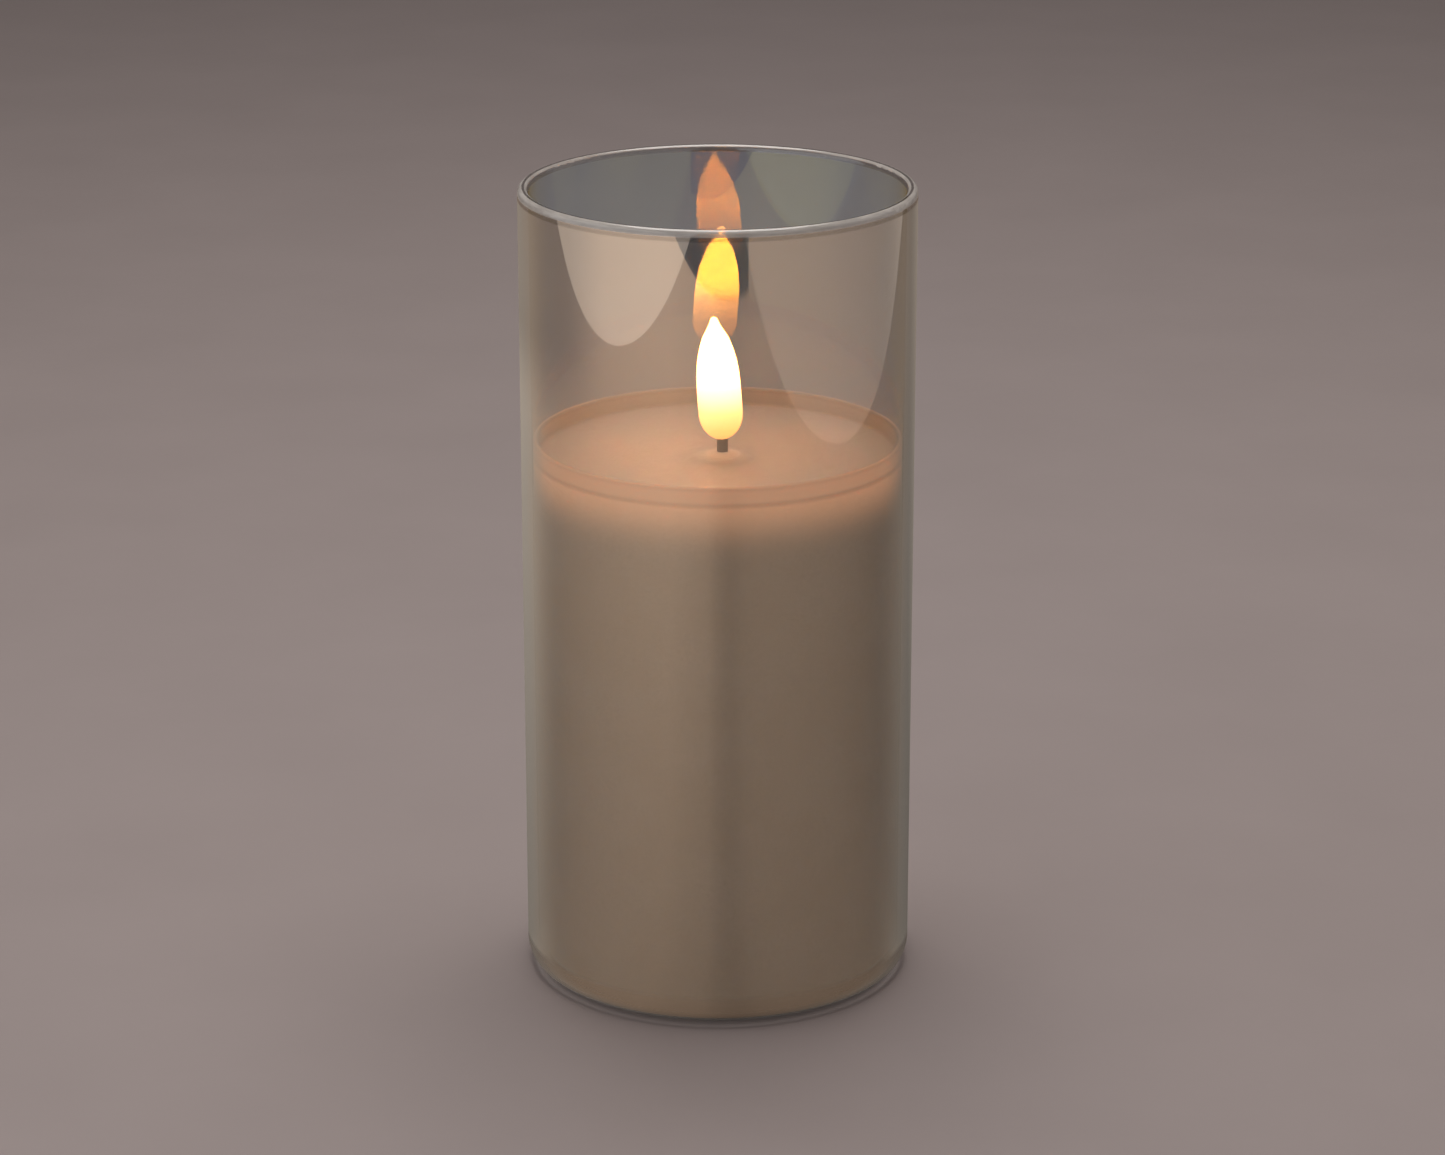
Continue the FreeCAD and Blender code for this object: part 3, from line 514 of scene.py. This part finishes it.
# %% [markdown]
# Seen from outside, through the glass, the film is a bronze mirror that
# turns to silver at the sides, where it throws back nearly all light. Seen
# from inside it is a weak mirror of strong gold, and what comes through is
# a little blue, as thin films are. The flame's two images in the far wall
# come from that inner side. Glass without film throws back only 4 percent
# and more where the look along it is flat.

# %% Film on the glass
film_from_outside = 0.45
film_from_inside = 0.142
film_at_sides = 0.92
bronze = mirror(pen, (1.0, 0.78, 0.60), smear)
silver = mirror(pen, (1.0, 0.97, 0.93), smear)
gold = mirror(pen, (1.0, 0.79, 0.18), smear)
film_mirror = mixed(pen, fade(pen, facing, 0.38, 0.82), bronze, silver)
outer_share = film_from_outside + (film_at_sides - film_from_outside) * side
outer_share = outer_share + (1 - outer_share) * grazing
outer_skin = mixed(pen, outer_share, clear(pen, (0.74, 0.75, 0.76)), film_mirror)
inner_share = film_from_inside + (1 - film_from_inside) * grazing
inner_skin = mixed(pen, inner_share, clear(pen, (0.68, 0.80, 0.97)), gold)
back_skin = mixed(pen, bare_glass, clear(pen, (0.97, 0.97, 0.97)), mirror(pen, (1, 1, 1), 0.01))
print("film mirrors", film_from_outside, "from outside and", film_from_inside, "from inside")

# %% [markdown]
# The rim is melted round and has no film. It bends light so strongly that
# the eye sees it as two pale lines with a dark line between them, and a
# dark line below, where the film begins. Straight-through skins can't bend
# light, so these lines are painted by radius and height: painted highlights
# in a pale coat, and painted shade in darker see-through glass.

# %% Rim of the glass
rim_foot = glass_top - 1.35
dark_line_top = glass_top - 1.2
dark_line_foot = glass_top - 2.3
outer_line = glass_radius - 0.95
inner_line = glass_radius - 1.9
inner_line_end = glass_radius - 1.2
line_edge = 0.2

# Painted highlights: the rim's two pale lines, placed by radius.
outer_highlight_line = fade(pen, from_axis, outer_line, outer_line + line_edge)
inner_highlight_line = fade(pen, from_axis, inner_line, inner_line + line_edge)
inner_highlight_line = inner_highlight_line * fade(pen, from_axis, inner_line_end, inner_line_end - line_edge)
painted_rim_highlights = outer_highlight_line + inner_highlight_line
uneven = noise(pen, place(pen, (0.3, 0.3, 3.0)), 0.6, 3)
# A pale coat that paints the rim's highlights.
rim_highlight_paint = coated(
    pen,
    blend(pen, uneven, (0.80, 0.71, 0.63), (1.00, 0.92, 0.84)),
    roughness=0.05 + 0.10 * uneven,
    specular_ior_level=0.9,
)
# Darker see-through glass that paints the shade of the rim's dark line.
rim_shade_skin = mixed(pen, 0.20, clear(pen, (0.50, 0.49, 0.47)), mirror(pen, (1, 1, 1), 0.06))
rim_skin = mixed(pen, (0.45 + 0.6 * uneven) * painted_rim_highlights, rim_shade_skin, rim_highlight_paint)
rim = fade(pen, z, rim_foot, rim_foot + line_edge)
# A painted dark line of shade on the glass below the rim, where the film begins.
film_edge_shade = fade(pen, z, dark_line_foot, dark_line_foot + 0.4)
film_edge_shade = film_edge_shade * fade(pen, z, dark_line_top, dark_line_top - 0.3)
film_edge_shade_skin = mixed(pen, 0.30, clear(pen, (0.40, 0.38, 0.36)), bronze)
print("rim's pale lines from radius", round(outer_line, 2), "and", round(inner_line, 2))

# %% [markdown]
# The heel at the foot is thick and drawn in, so it shows the wax's colour
# right down to the table. Here that is a coat of this colour behind the
# film's mirror. Then the parts are put together: each Mix Shader's factor
# goes from 0 to 1 where one part ends and the next begins. The last factor
# is 1 where light meets a skin from within the wall, after the skin with
# the finish, so the film isn't counted twice.

# %% Heel, and the whole wall
heel_top = 6.6
heel_blend = 1.6
film_foot = 4.0
wall_middle = glass_radius - 1.0

heel = fade(pen, z, heel_top, heel_top - heel_blend)
heel_tone = blend(pen, uneven, (0.20, 0.14, 0.11), (0.25, 0.18, 0.14))
heel_glass = coated(pen, heel_tone, roughness=0.4)
heel_share = outer_share * fade(pen, z, 0.3, 3.2) * (1 - 0.55 * side)
heel_skin = mixed(pen, heel_share, heel_glass, film_mirror)
outside = mixed(pen, 0.75 * film_edge_shade, mixed(pen, heel, outer_skin, heel_skin), film_edge_shade_skin)
bare_share = bare_glass + (1 - bare_glass) * grazing
bare_skin = mixed(pen, bare_share, clear(pen, (0.90, 0.92, 0.91)), mirror(pen, (1, 1, 1), 0.03))
inside = mixed(pen, fade(pen, z, film_foot, film_foot - 1.0), inner_skin, bare_skin)
walls = mixed(pen, rim, mixed(pen, from_axis < wall_middle, outside, inside), rim_skin)
behind = pen.node("NewGeometry", {}, {}, "Backfacing")
close(pen, mixed(pen, behind, walls, back_skin))
print("glass nodes:", len(finishes["smoked_glass"].node_tree.nodes))

# %% [markdown]
# ## Wax
# The pillar is real wax: smooth, ivory, faintly mottled and finely
# speckled. Its floor is the palest part. The lip that stands up round the
# floor is thin, with little wax behind it to throw light back, so it is
# duller, and its darker colours, darkest at the crest, also hold painted
# shade. On the outside a fine dark line at the level of the floor is
# painted shade, and a small pale ring on the floor round the wick's foot
# is a low raised ring with a painted highlight on it.

# %% Tones of the wax
wax_ivory = (0.66, 0.50, 0.36)
wax_cream = (0.72, 0.56, 0.42)
wax_speckle = (0.52, 0.40, 0.29)
floor_wax = (0.79, 0.63, 0.49)
# The lip's tones are darkened further with painted shade, most at the crest.
lip_inside_shade = (0.38, 0.325, 0.285)
lip_outside_shade = (0.26, 0.21, 0.165)
lip_crest_shade = (0.26, 0.21, 0.17)
# Pale colour of the painted highlight on the ring round the wick's foot.
ring_highlight = (0.95, 0.84, 0.72)
floor_line_shade_tone = (0.30, 0.20, 0.14)
foot_ring_from, foot_ring_to = 3.7, 4.4
foot_ring_edge = 0.3

pen = start("wax")
point = place(pen)
x, y, z = split(pen, point)
from_axis = radius(x, y)
cloud = noise(pen, point, 0.06, 3)
pores = noise(pen, point, 1.6, 4)
flow = noise(pen, place(pen, (1, 1, 0.15)), 0.25, 3)
outside = fade(pen, from_axis, wax_radius - 0.9, wax_radius - 0.4)
lip = fade(pen, z, wax_floor - 0.4, wax_floor + 0.6)
crest = fade(pen, z, wax_top - 1.2, wax_top - 0.3)
on_floor = (1 - outside) * fade(pen, z, wax_floor - 1, wax_floor)
# A low raised ring round the wick's foot; its pale colour is a painted highlight.
ring_relief_and_highlight = on_floor * fade(pen, from_axis, foot_ring_from, foot_ring_from + foot_ring_edge)
ring_relief_and_highlight = ring_relief_and_highlight * fade(pen, from_axis, foot_ring_to, foot_ring_to - foot_ring_edge)
# A fine dark line of painted shade on the outside at the floor's level; it also dims the glow there.
floor_line_shade = fade(pen, z, wax_floor - 0.9, wax_floor - 0.3) * fade(pen, z, wax_floor + 0.5, wax_floor)
tone = blend(pen, fade(pen, cloud, 0.35, 0.65), wax_ivory, wax_cream)
tone = blend(pen, 1 - outside, tone, floor_wax)
tone = blend(pen, 0.30 * fade(pen, pores, 0.42, 0.66), tone, wax_speckle)
# Painted shade on the lip, inside and out, then more at its crest.
tone = blend(pen, lip, tone, blend(pen, outside, lip_inside_shade, lip_outside_shade))
tone = blend(pen, 0.6 * crest, tone, lip_crest_shade)
tone = blend(pen, 0.70 * ring_relief_and_highlight, tone, ring_highlight)
tone = blend(pen, 0.25 * outside * floor_line_shade, tone, floor_line_shade_tone)
print("wax floor at", round(wax_floor, 1))

# %% [markdown]
# Light goes a few millimetres into wax before it comes out again. The
# flame's light soaks the floor and shows as a warm band on the outside,
# strongest just below the floor. It shines through the thin lip, and the
# lamp's light leaks up round the wick's foot. Subsurface scattering gives
# the soft body, and a faint glow by height and radius gives the soaked
# parts their full strength, which few light paths would reach by chance.

# %% Glow of the wax
band_depth = 14
leak_reach = 22
band_glow = (1.0, 0.44, 0.205)
lip_glow = (0.82, 0.40, 0.21)
leak_glow = (1.0, 0.58, 0.34)

band = fade(pen, z, wax_floor - band_depth, wax_floor) ** 2.3
soaked = outside * 0.8 * band * (1 - lip) * (1 - 0.3 * floor_line_shade)
wide_leak = 0.46 * fade(pen, from_axis, leak_reach, 1) ** 2
near_leak = 0.32 * fade(pen, from_axis, 10, 3)
leak = on_floor * (0.03 + wide_leak + near_leak)
glow = blend(pen, soaked, (0, 0, 0), band_glow)
glow = blend(pen, outside * lip * (1 - 0.18 * crest), glow, lip_glow)
glow = blend(pen, leak, glow, leak_glow)
close(
    pen,
    coated(
        pen,
        tone,
        roughness=0.46 + 0.12 * pores,
        subsurface_weight=1.0,
        subsurface_radius=(1.0, 0.62, 0.40),
        subsurface_scale=4.0 * MM,
        specular_ior_level=0.42,
        emission_color=glow,
        emission_strength=0.80,
        normal=bump(pen, pores * 0.5 + flow * 0.7 + 2 * ring_relief_and_highlight, 0.06),
    ),
)
print("warm band", band_depth, "mm deep")

# %% [markdown]
# ## Flame
# The flame is a hollow shell of frosted white plastic with a warm LED at
# its foot. The plastic spreads the LED's light up the shell: the upper
# part is so bright that it looks white, and the foot is deep yellow. An
# emission colour from a ramp over the height gives that, and the satin
# plastic under it keeps a little gloss.

# %% Flame
flame_power = 40.0
flame_white = (0.86, 0.78, 0.62)
fire_stops = [
    (0.00, (0.070, 0.022, 0.0030)),
    (0.10, (0.100, 0.034, 0.0055)),
    (0.24, (0.145, 0.054, 0.0140)),
    (0.42, (0.340, 0.140, 0.0500)),
    (0.50, (0.740, 0.285, 0.0700)),
    (0.60, (1.000, 0.380, 0.0760)),
    (1.00, (1.000, 0.370, 0.0720)),
]

pen = start("flame_plastic")
point = place(pen)
x, y, z = split(pen, point)
climb = (z - flame_foot) / (flame_tip - flame_foot)
frost = noise(pen, point, 2.2, 3)
fire = pen.node("ValToRGB", {"stops": fire_stops}, {0: climb + 0.03 * (frost - 0.5)})
close(
    pen,
    coated(
        pen,
        flame_white,
        roughness=0.38 + 0.1 * frost,
        emission_color=fire,
        emission_strength=flame_power,
        normal=bump(pen, frost, 0.02),
    ),
)
print("flame power", flame_power)

# %% [markdown]
# ## Wick tube
# A short dark brown plastic tube carries the flame and hides its leads.
# Fine rings from the extruder and a little soot-like mottling keep it from
# looking like a painted stick.

# %% Wick tube
pen = start("wick_plastic")
point = place(pen)
rings = pen.node(
    "TexWave",
    {"bands_direction": "Z"},
    {"Vector": point, "Scale": 1.6, "Distortion": 1.5},
    "Fac",
)
soot = noise(pen, point, 1.5, 3)
close(
    pen,
    coated(
        pen,
        blend(pen, soot, (0.045, 0.024, 0.015), (0.120, 0.066, 0.040)),
        roughness=0.40 + 0.2 * soot,
        normal=bump(pen, rings * 0.5 + soot * 0.5, 0.03),
    ),
)
print("wick from", round(low("wick_tube", 2) / MM, 1), "to", round(high("wick_tube", 2) / MM, 1))

# %% [markdown]
# ## Moulded plastics
# Housing, door, holder and knob are injection moulded. Such plastic has a
# fine spark-eroded grain, slight flow clouds and a satin gloss, so one
# function makes them all from two near colours and the grain's size. The
# wires' insulation and the sleeves on their joints are smoother kinds of
# the same, and the switch's laminate takes it with browner colours.

# %% Moulded plastics
def moulded(slot, dark, light, grain_mm, gloss, relief_mm=0.03):
    pen = start(slot)
    point = place(pen)
    clouds = noise(pen, point, 0.12, 3)
    grain = noise(pen, point, 1 / grain_mm, 3, 0.6)
    rubbed = fade(pen, noise(pen, point, 0.5, 4), 0.55, 0.75)
    close(
        pen,
        coated(
            pen,
            blend(pen, fade(pen, clouds, 0.3, 0.7), dark, light),
            roughness=gloss + 0.12 * grain - 0.10 * rubbed,
            normal=bump(pen, grain, relief_mm),
        ),
    )


moulded("housing_plastic", (0.66, 0.60, 0.49), (0.72, 0.66, 0.55), 0.45, gloss=0.42)
moulded("knob_plastic", (0.028, 0.027, 0.026), (0.045, 0.043, 0.041), 0.30, gloss=0.36)
moulded("holder_plastic", (0.62, 0.60, 0.55), (0.70, 0.68, 0.63), 0.40, gloss=0.45)
moulded("sleeve_plastic", (0.020, 0.020, 0.021), (0.045, 0.044, 0.043), 0.25, gloss=0.50)
moulded("red_wire", (0.42, 0.018, 0.014), (0.52, 0.030, 0.022), 0.60, gloss=0.34, relief_mm=0.01)
moulded("black_wire", (0.014, 0.014, 0.015), (0.028, 0.028, 0.029), 0.60, gloss=0.34, relief_mm=0.01)
moulded("switch_laminate", (0.22, 0.12, 0.055), (0.32, 0.19, 0.09), 0.30, gloss=0.55)
print("finishes so far:", len(finishes))

# %% [markdown]
# ## Metals
# Leads, pins, springs, screws and cans are tinned or plated: bright, with
# fine marks along the way they were drawn or stamped, and duller where
# fingers and air have been. Stretching the noise along one axis turns
# round specks into drawn lines.

# %% Metals
def metal(slot, dark, light, gloss, stretch=(1, 1, 1)):
    pen = start(slot)
    scratches = noise(pen, place(pen, stretch), 3.0, 4, 0.7)
    tarnish = fade(pen, noise(pen, place(pen), 0.4, 3), 0.4, 0.8)
    close(
        pen,
        coated(
            pen,
            blend(pen, tarnish, light, dark),
            metallic=1.0,
            roughness=gloss + 0.18 * scratches + 0.1 * tarnish,
            normal=bump(pen, scratches, 0.01),
        ),
    )


metal("tinned_wire", (0.50, 0.48, 0.45), (0.78, 0.77, 0.75), gloss=0.20, stretch=(1, 1, 0.2))
metal("screw_steel", (0.42, 0.41, 0.40), (0.66, 0.65, 0.64), gloss=0.24)
metal("cell_steel", (0.55, 0.54, 0.52), (0.78, 0.77, 0.75), gloss=0.16, stretch=(0.3, 1, 1))
metal("contact_steel", (0.50, 0.49, 0.47), (0.74, 0.73, 0.71), gloss=0.22, stretch=(1, 0.2, 1))
metal("crystal_steel", (0.60, 0.59, 0.56), (0.80, 0.79, 0.77), gloss=0.18, stretch=(0.2, 1, 1))
metal("switch_steel", (0.48, 0.47, 0.45), (0.72, 0.71, 0.69), gloss=0.26, stretch=(0.2, 1, 1))
metal("wiper_brass", (0.45, 0.28, 0.10), (0.80, 0.58, 0.26), gloss=0.20)
print("metals:", [slot for slot in finishes if "steel" in slot or "brass" in slot or "tinned" in slot])

# %% [markdown]
# ## Sleeves of the cells
# Each cell wears a printed plastic sleeve shrunk round its can: graphite,
# with a silver band and a thin ring at the plus end. The two cells lie
# head to tail, so the way to the plus end changes sign with the row. The
# sleeve's shrinking leaves faint rings round the cell.

# %% Sleeves of the cells
band_from = 14.9
ring_from, ring_to = 13.3, 13.9
print_edge = 0.1

pen = start("cell_film")
point = place(pen)
x, y, z = split(pen, point)
to_plus = -1 * x * pen.maths("SIGN", y)
silver = fade(pen, to_plus, band_from, band_from + print_edge)
thin_ring = fade(pen, to_plus, ring_from, ring_from + print_edge)
thin_ring = thin_ring * fade(pen, to_plus, ring_to, ring_to - print_edge)
print_on = pen.maths("MAXIMUM", silver, thin_ring)
shrink = noise(pen, place(pen, (1, 0.15, 0.15)), 0.9, 3)
rubs = fade(pen, noise(pen, point, 0.7, 4), 0.5, 0.75)
ink = blend(pen, rubs, (0.020, 0.021, 0.024), (0.034, 0.035, 0.039))
close(
    pen,
    coated(
        pen,
        blend(pen, print_on, ink, (0.52, 0.52, 0.51)),
        metallic=0.75 * print_on,
        roughness=0.22 + 0.10 * shrink + 0.12 * rubs,
        normal=bump(pen, shrink, 0.02),
    ),
)
print("plus ends' band from", band_from, "mm")

# %% [markdown]
# ## Timer board
# The board is woven glass in resin under a green lacquer. Copper tracks lie
# under the lacquer and show as lighter lines, and the lacquer leaves the
# pads of the switch's pins and the screws' lands bare and tinned. The cut
# edge has no lacquer, so it shows the yellowish laminate. The pads come
# from sums of distances: folding x twice puts four pads in one sum.

# %% Timer board
pin_pitch = 2.5
pad_radius = 0.85
land_radius = 2.3
screw_head_radius = 1.7
pin_row = (low("switch_pins", 1) + high("switch_pins", 1)) / 2 / MM
screw_out = high("board_screws", 0) / MM - screw_head_radius
board_under = low("timer_board", 2) / MM
board_over = high("timer_board", 2) / MM

pen = start("board_laminate")
point = place(pen)
x, y, z = split(pen, point)
aside = pen.maths("ABSOLUTE", x)
folded = pen.maths("ABSOLUTE", aside - pin_pitch) - pin_pitch / 2
pads = radius(folded, y - pin_row) < pad_radius
lands = radius(aside - screw_out, y - pin_row) < land_radius
tinned = pen.maths("MAXIMUM", pads, lands)
lines = pen.node(
    "TexWave",
    {"bands_direction": "Y"},
    {"Vector": point, "Scale": 0.28, "Distortion": 1.2, "Detail": 0.0},
    "Fac",
)
copper = fade(pen, lines, 0.60, 0.68)
weave = noise(pen, point, 2.5, 3)
edge = fade(pen, z, board_under + 0.02, board_under + 0.08)
edge = edge * fade(pen, z, board_over - 0.02, board_over - 0.08)
lacquer = blend(pen, copper, (0.010, 0.062, 0.026), (0.030, 0.150, 0.055))
surface = blend(pen, edge, lacquer, (0.34, 0.31, 0.17))
close(
    pen,
    coated(
        pen,
        blend(pen, tinned, surface, (0.62, 0.61, 0.59)),
        metallic=tinned,
        roughness=0.24 + 0.12 * weave + 0.25 * edge,
        normal=bump(pen, copper * 0.7 + weave * 0.3, 0.02),
    ),
)
print("pads at y", round(pin_row, 2), "screws' lands at x", round(screw_out, 2))

# %% [markdown]
# ## Small parts on the board
# A timer chip is black epoxy with a dot pressed in at pin one, smoother
# than the grain round it. The dot is a distance from the corner of the
# chip's own box.

# %% Timer chip
dot_inset = 0.8
dot_radius = 0.36
dot_x = low("timer_chip", 0) / MM + dot_inset
dot_y = low("timer_chip", 1) / MM + dot_inset

pen = start("chip_plastic")
point = place(pen)
x, y, z = split(pen, point)
dot = fade(pen, radius(x - dot_x, y - dot_y), dot_radius, dot_radius - 0.06)
grain = noise(pen, point, 7.0, 3, 0.6)
close(
    pen,
    coated(
        pen,
        blend(pen, grain, (0.014, 0.014, 0.016), (0.034, 0.034, 0.036)),
        roughness=0.62 - 0.34 * dot,
        normal=bump(pen, grain * 0.2 - dot, 0.04),
    ),
)
print("chip's dot at", round(dot_x, 2), round(dot_y, 2))

# %% [markdown]
# The capacitor is an aluminium can in a dark blue sleeve. A pale stripe
# down one side marks its minus lead, and the sleeve leaves the top bare,
# so metal shines there.

# %% Capacitor
bare_radius = 1.75
stripe_from = 1.35


def middle(node, axis):
    return (low(node, axis) + high(node, axis)) / 2 / MM


can_x, can_y = middle("capacitor", 0), middle("capacitor", 1)
can_top = high("capacitor", 2) / MM

pen = start("capacitor_film")
point = place(pen)
x, y, z = split(pen, point)
bare_top = fade(pen, z, can_top - 0.12, can_top - 0.06)
bare_top = bare_top * fade(pen, radius(x - can_x, y - can_y), bare_radius, bare_radius - 0.1)
stripe = fade(pen, x - can_x, stripe_from, stripe_from + 0.07)
film_marks = noise(pen, point, 1.5, 3)
sleeve = blend(pen, film_marks, (0.012, 0.018, 0.060), (0.020, 0.030, 0.085))
sleeve = blend(pen, stripe, sleeve, (0.50, 0.52, 0.55))
close(
    pen,
    coated(
        pen,
        blend(pen, bare_top, sleeve, (0.72, 0.72, 0.72)),
        metallic=bare_top,
        roughness=0.26 + 0.14 * film_marks,
        normal=bump(pen, film_marks, 0.01),
    ),
)
print("capacitor at", round(can_x, 2), round(can_y, 2))

# %% [markdown]
# Chip resistors are black glass on a ceramic block with tinned ends. The
# ends begin at one distance from the middle of the block, on both sides.

# %% Chip resistors
ends_from = 0.62

pen = start("resistor_ceramic")
point = place(pen)
x, y, z = split(pen, point)
along = pen.maths("ABSOLUTE", x - middle("chip_resistors", 0))
ends = fade(pen, along, ends_from, ends_from + 0.06)
specks = noise(pen, point, 5.0, 3)
body = blend(pen, specks, (0.012, 0.012, 0.014), (0.030, 0.030, 0.033))
close(
    pen,
    coated(
        pen,
        blend(pen, ends, body, (0.60, 0.59, 0.57)),
        metallic=ends,
        roughness=0.30 + 0.16 * specks,
        normal=bump(pen, specks, 0.01),
    ),
)
print("resistors' middle at x", round(middle("chip_resistors", 0), 2))

# %% [markdown]
# ## Lamp and glue
# The LED is a small dome of warm, slightly milky epoxy that shines from the
# level of its die. Light goes into the epoxy before it comes out again, so
# it takes subsurface scattering, as the wax does.

# %% Lamp
die_height = 1.6
die = low("led_lamp", 2) / MM + die_height

pen = start("led_epoxy")
point = place(pen)
x, y, z = split(pen, point)
shine = fade(pen, pen.maths("ABSOLUTE", z - die), 2.6, 0.2)
haze = noise(pen, point, 1.2, 2)
close(
    pen,
    coated(
        pen,
        blend(pen, haze, (0.86, 0.66, 0.34), (0.92, 0.76, 0.46)),
        roughness=0.06 + 0.06 * haze,
        subsurface_weight=0.6,
        subsurface_radius=(1.0, 0.6, 0.3),
        subsurface_scale=1.5 * MM,
        emission_color=blend(pen, shine, (0.20, 0.07, 0.01), (1.0, 0.52, 0.16)),
        emission_strength=6.0,
        normal=bump(pen, haze, 0.005),
    ),
)
print("LED's die at", round(die, 1), "mm")

# %% [markdown]
# The ring that holds the housing to the glass is clear hot glue. It lets
# light in, and its skin carries the ripples that it froze with and a few
# small bubbles.

# %% Glue
pen = start("adhesive")
point = place(pen)
ripples = noise(pen, point, 0.35, 3)
bubbles = fade(pen, noise(pen, point, 1.4, 2), 0.62, 0.72)
close(
    pen,
    coated(
        pen,
        blend(pen, ripples, (0.58, 0.54, 0.45), (0.76, 0.73, 0.64)),
        roughness=0.22 + 0.20 * ripples,
        subsurface_weight=0.5,
        subsurface_radius=(1.0, 0.9, 0.7),
        subsurface_scale=1.5 * MM,
        normal=bump(pen, ripples * 0.8 + bubbles * 0.2, 0.15),
    ),
)
print("finishes made:", len(finishes))

# %% [markdown]
# ## Every finish onto its pieces
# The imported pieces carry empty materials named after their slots, so each
# finish only has to take the place of the material with its own name. The
# list of pieces without a finish has to print empty.

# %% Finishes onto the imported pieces
bare = []
for name, piece in nodes.items():
    for slot in piece.material_slots:
        kind = slot.material.name.split(".")[0]
        if kind in finishes:
            slot.material = finishes[kind]
        else:
            bare.append((name, kind))
print("finishes:", len(finishes), "without one:", bare)
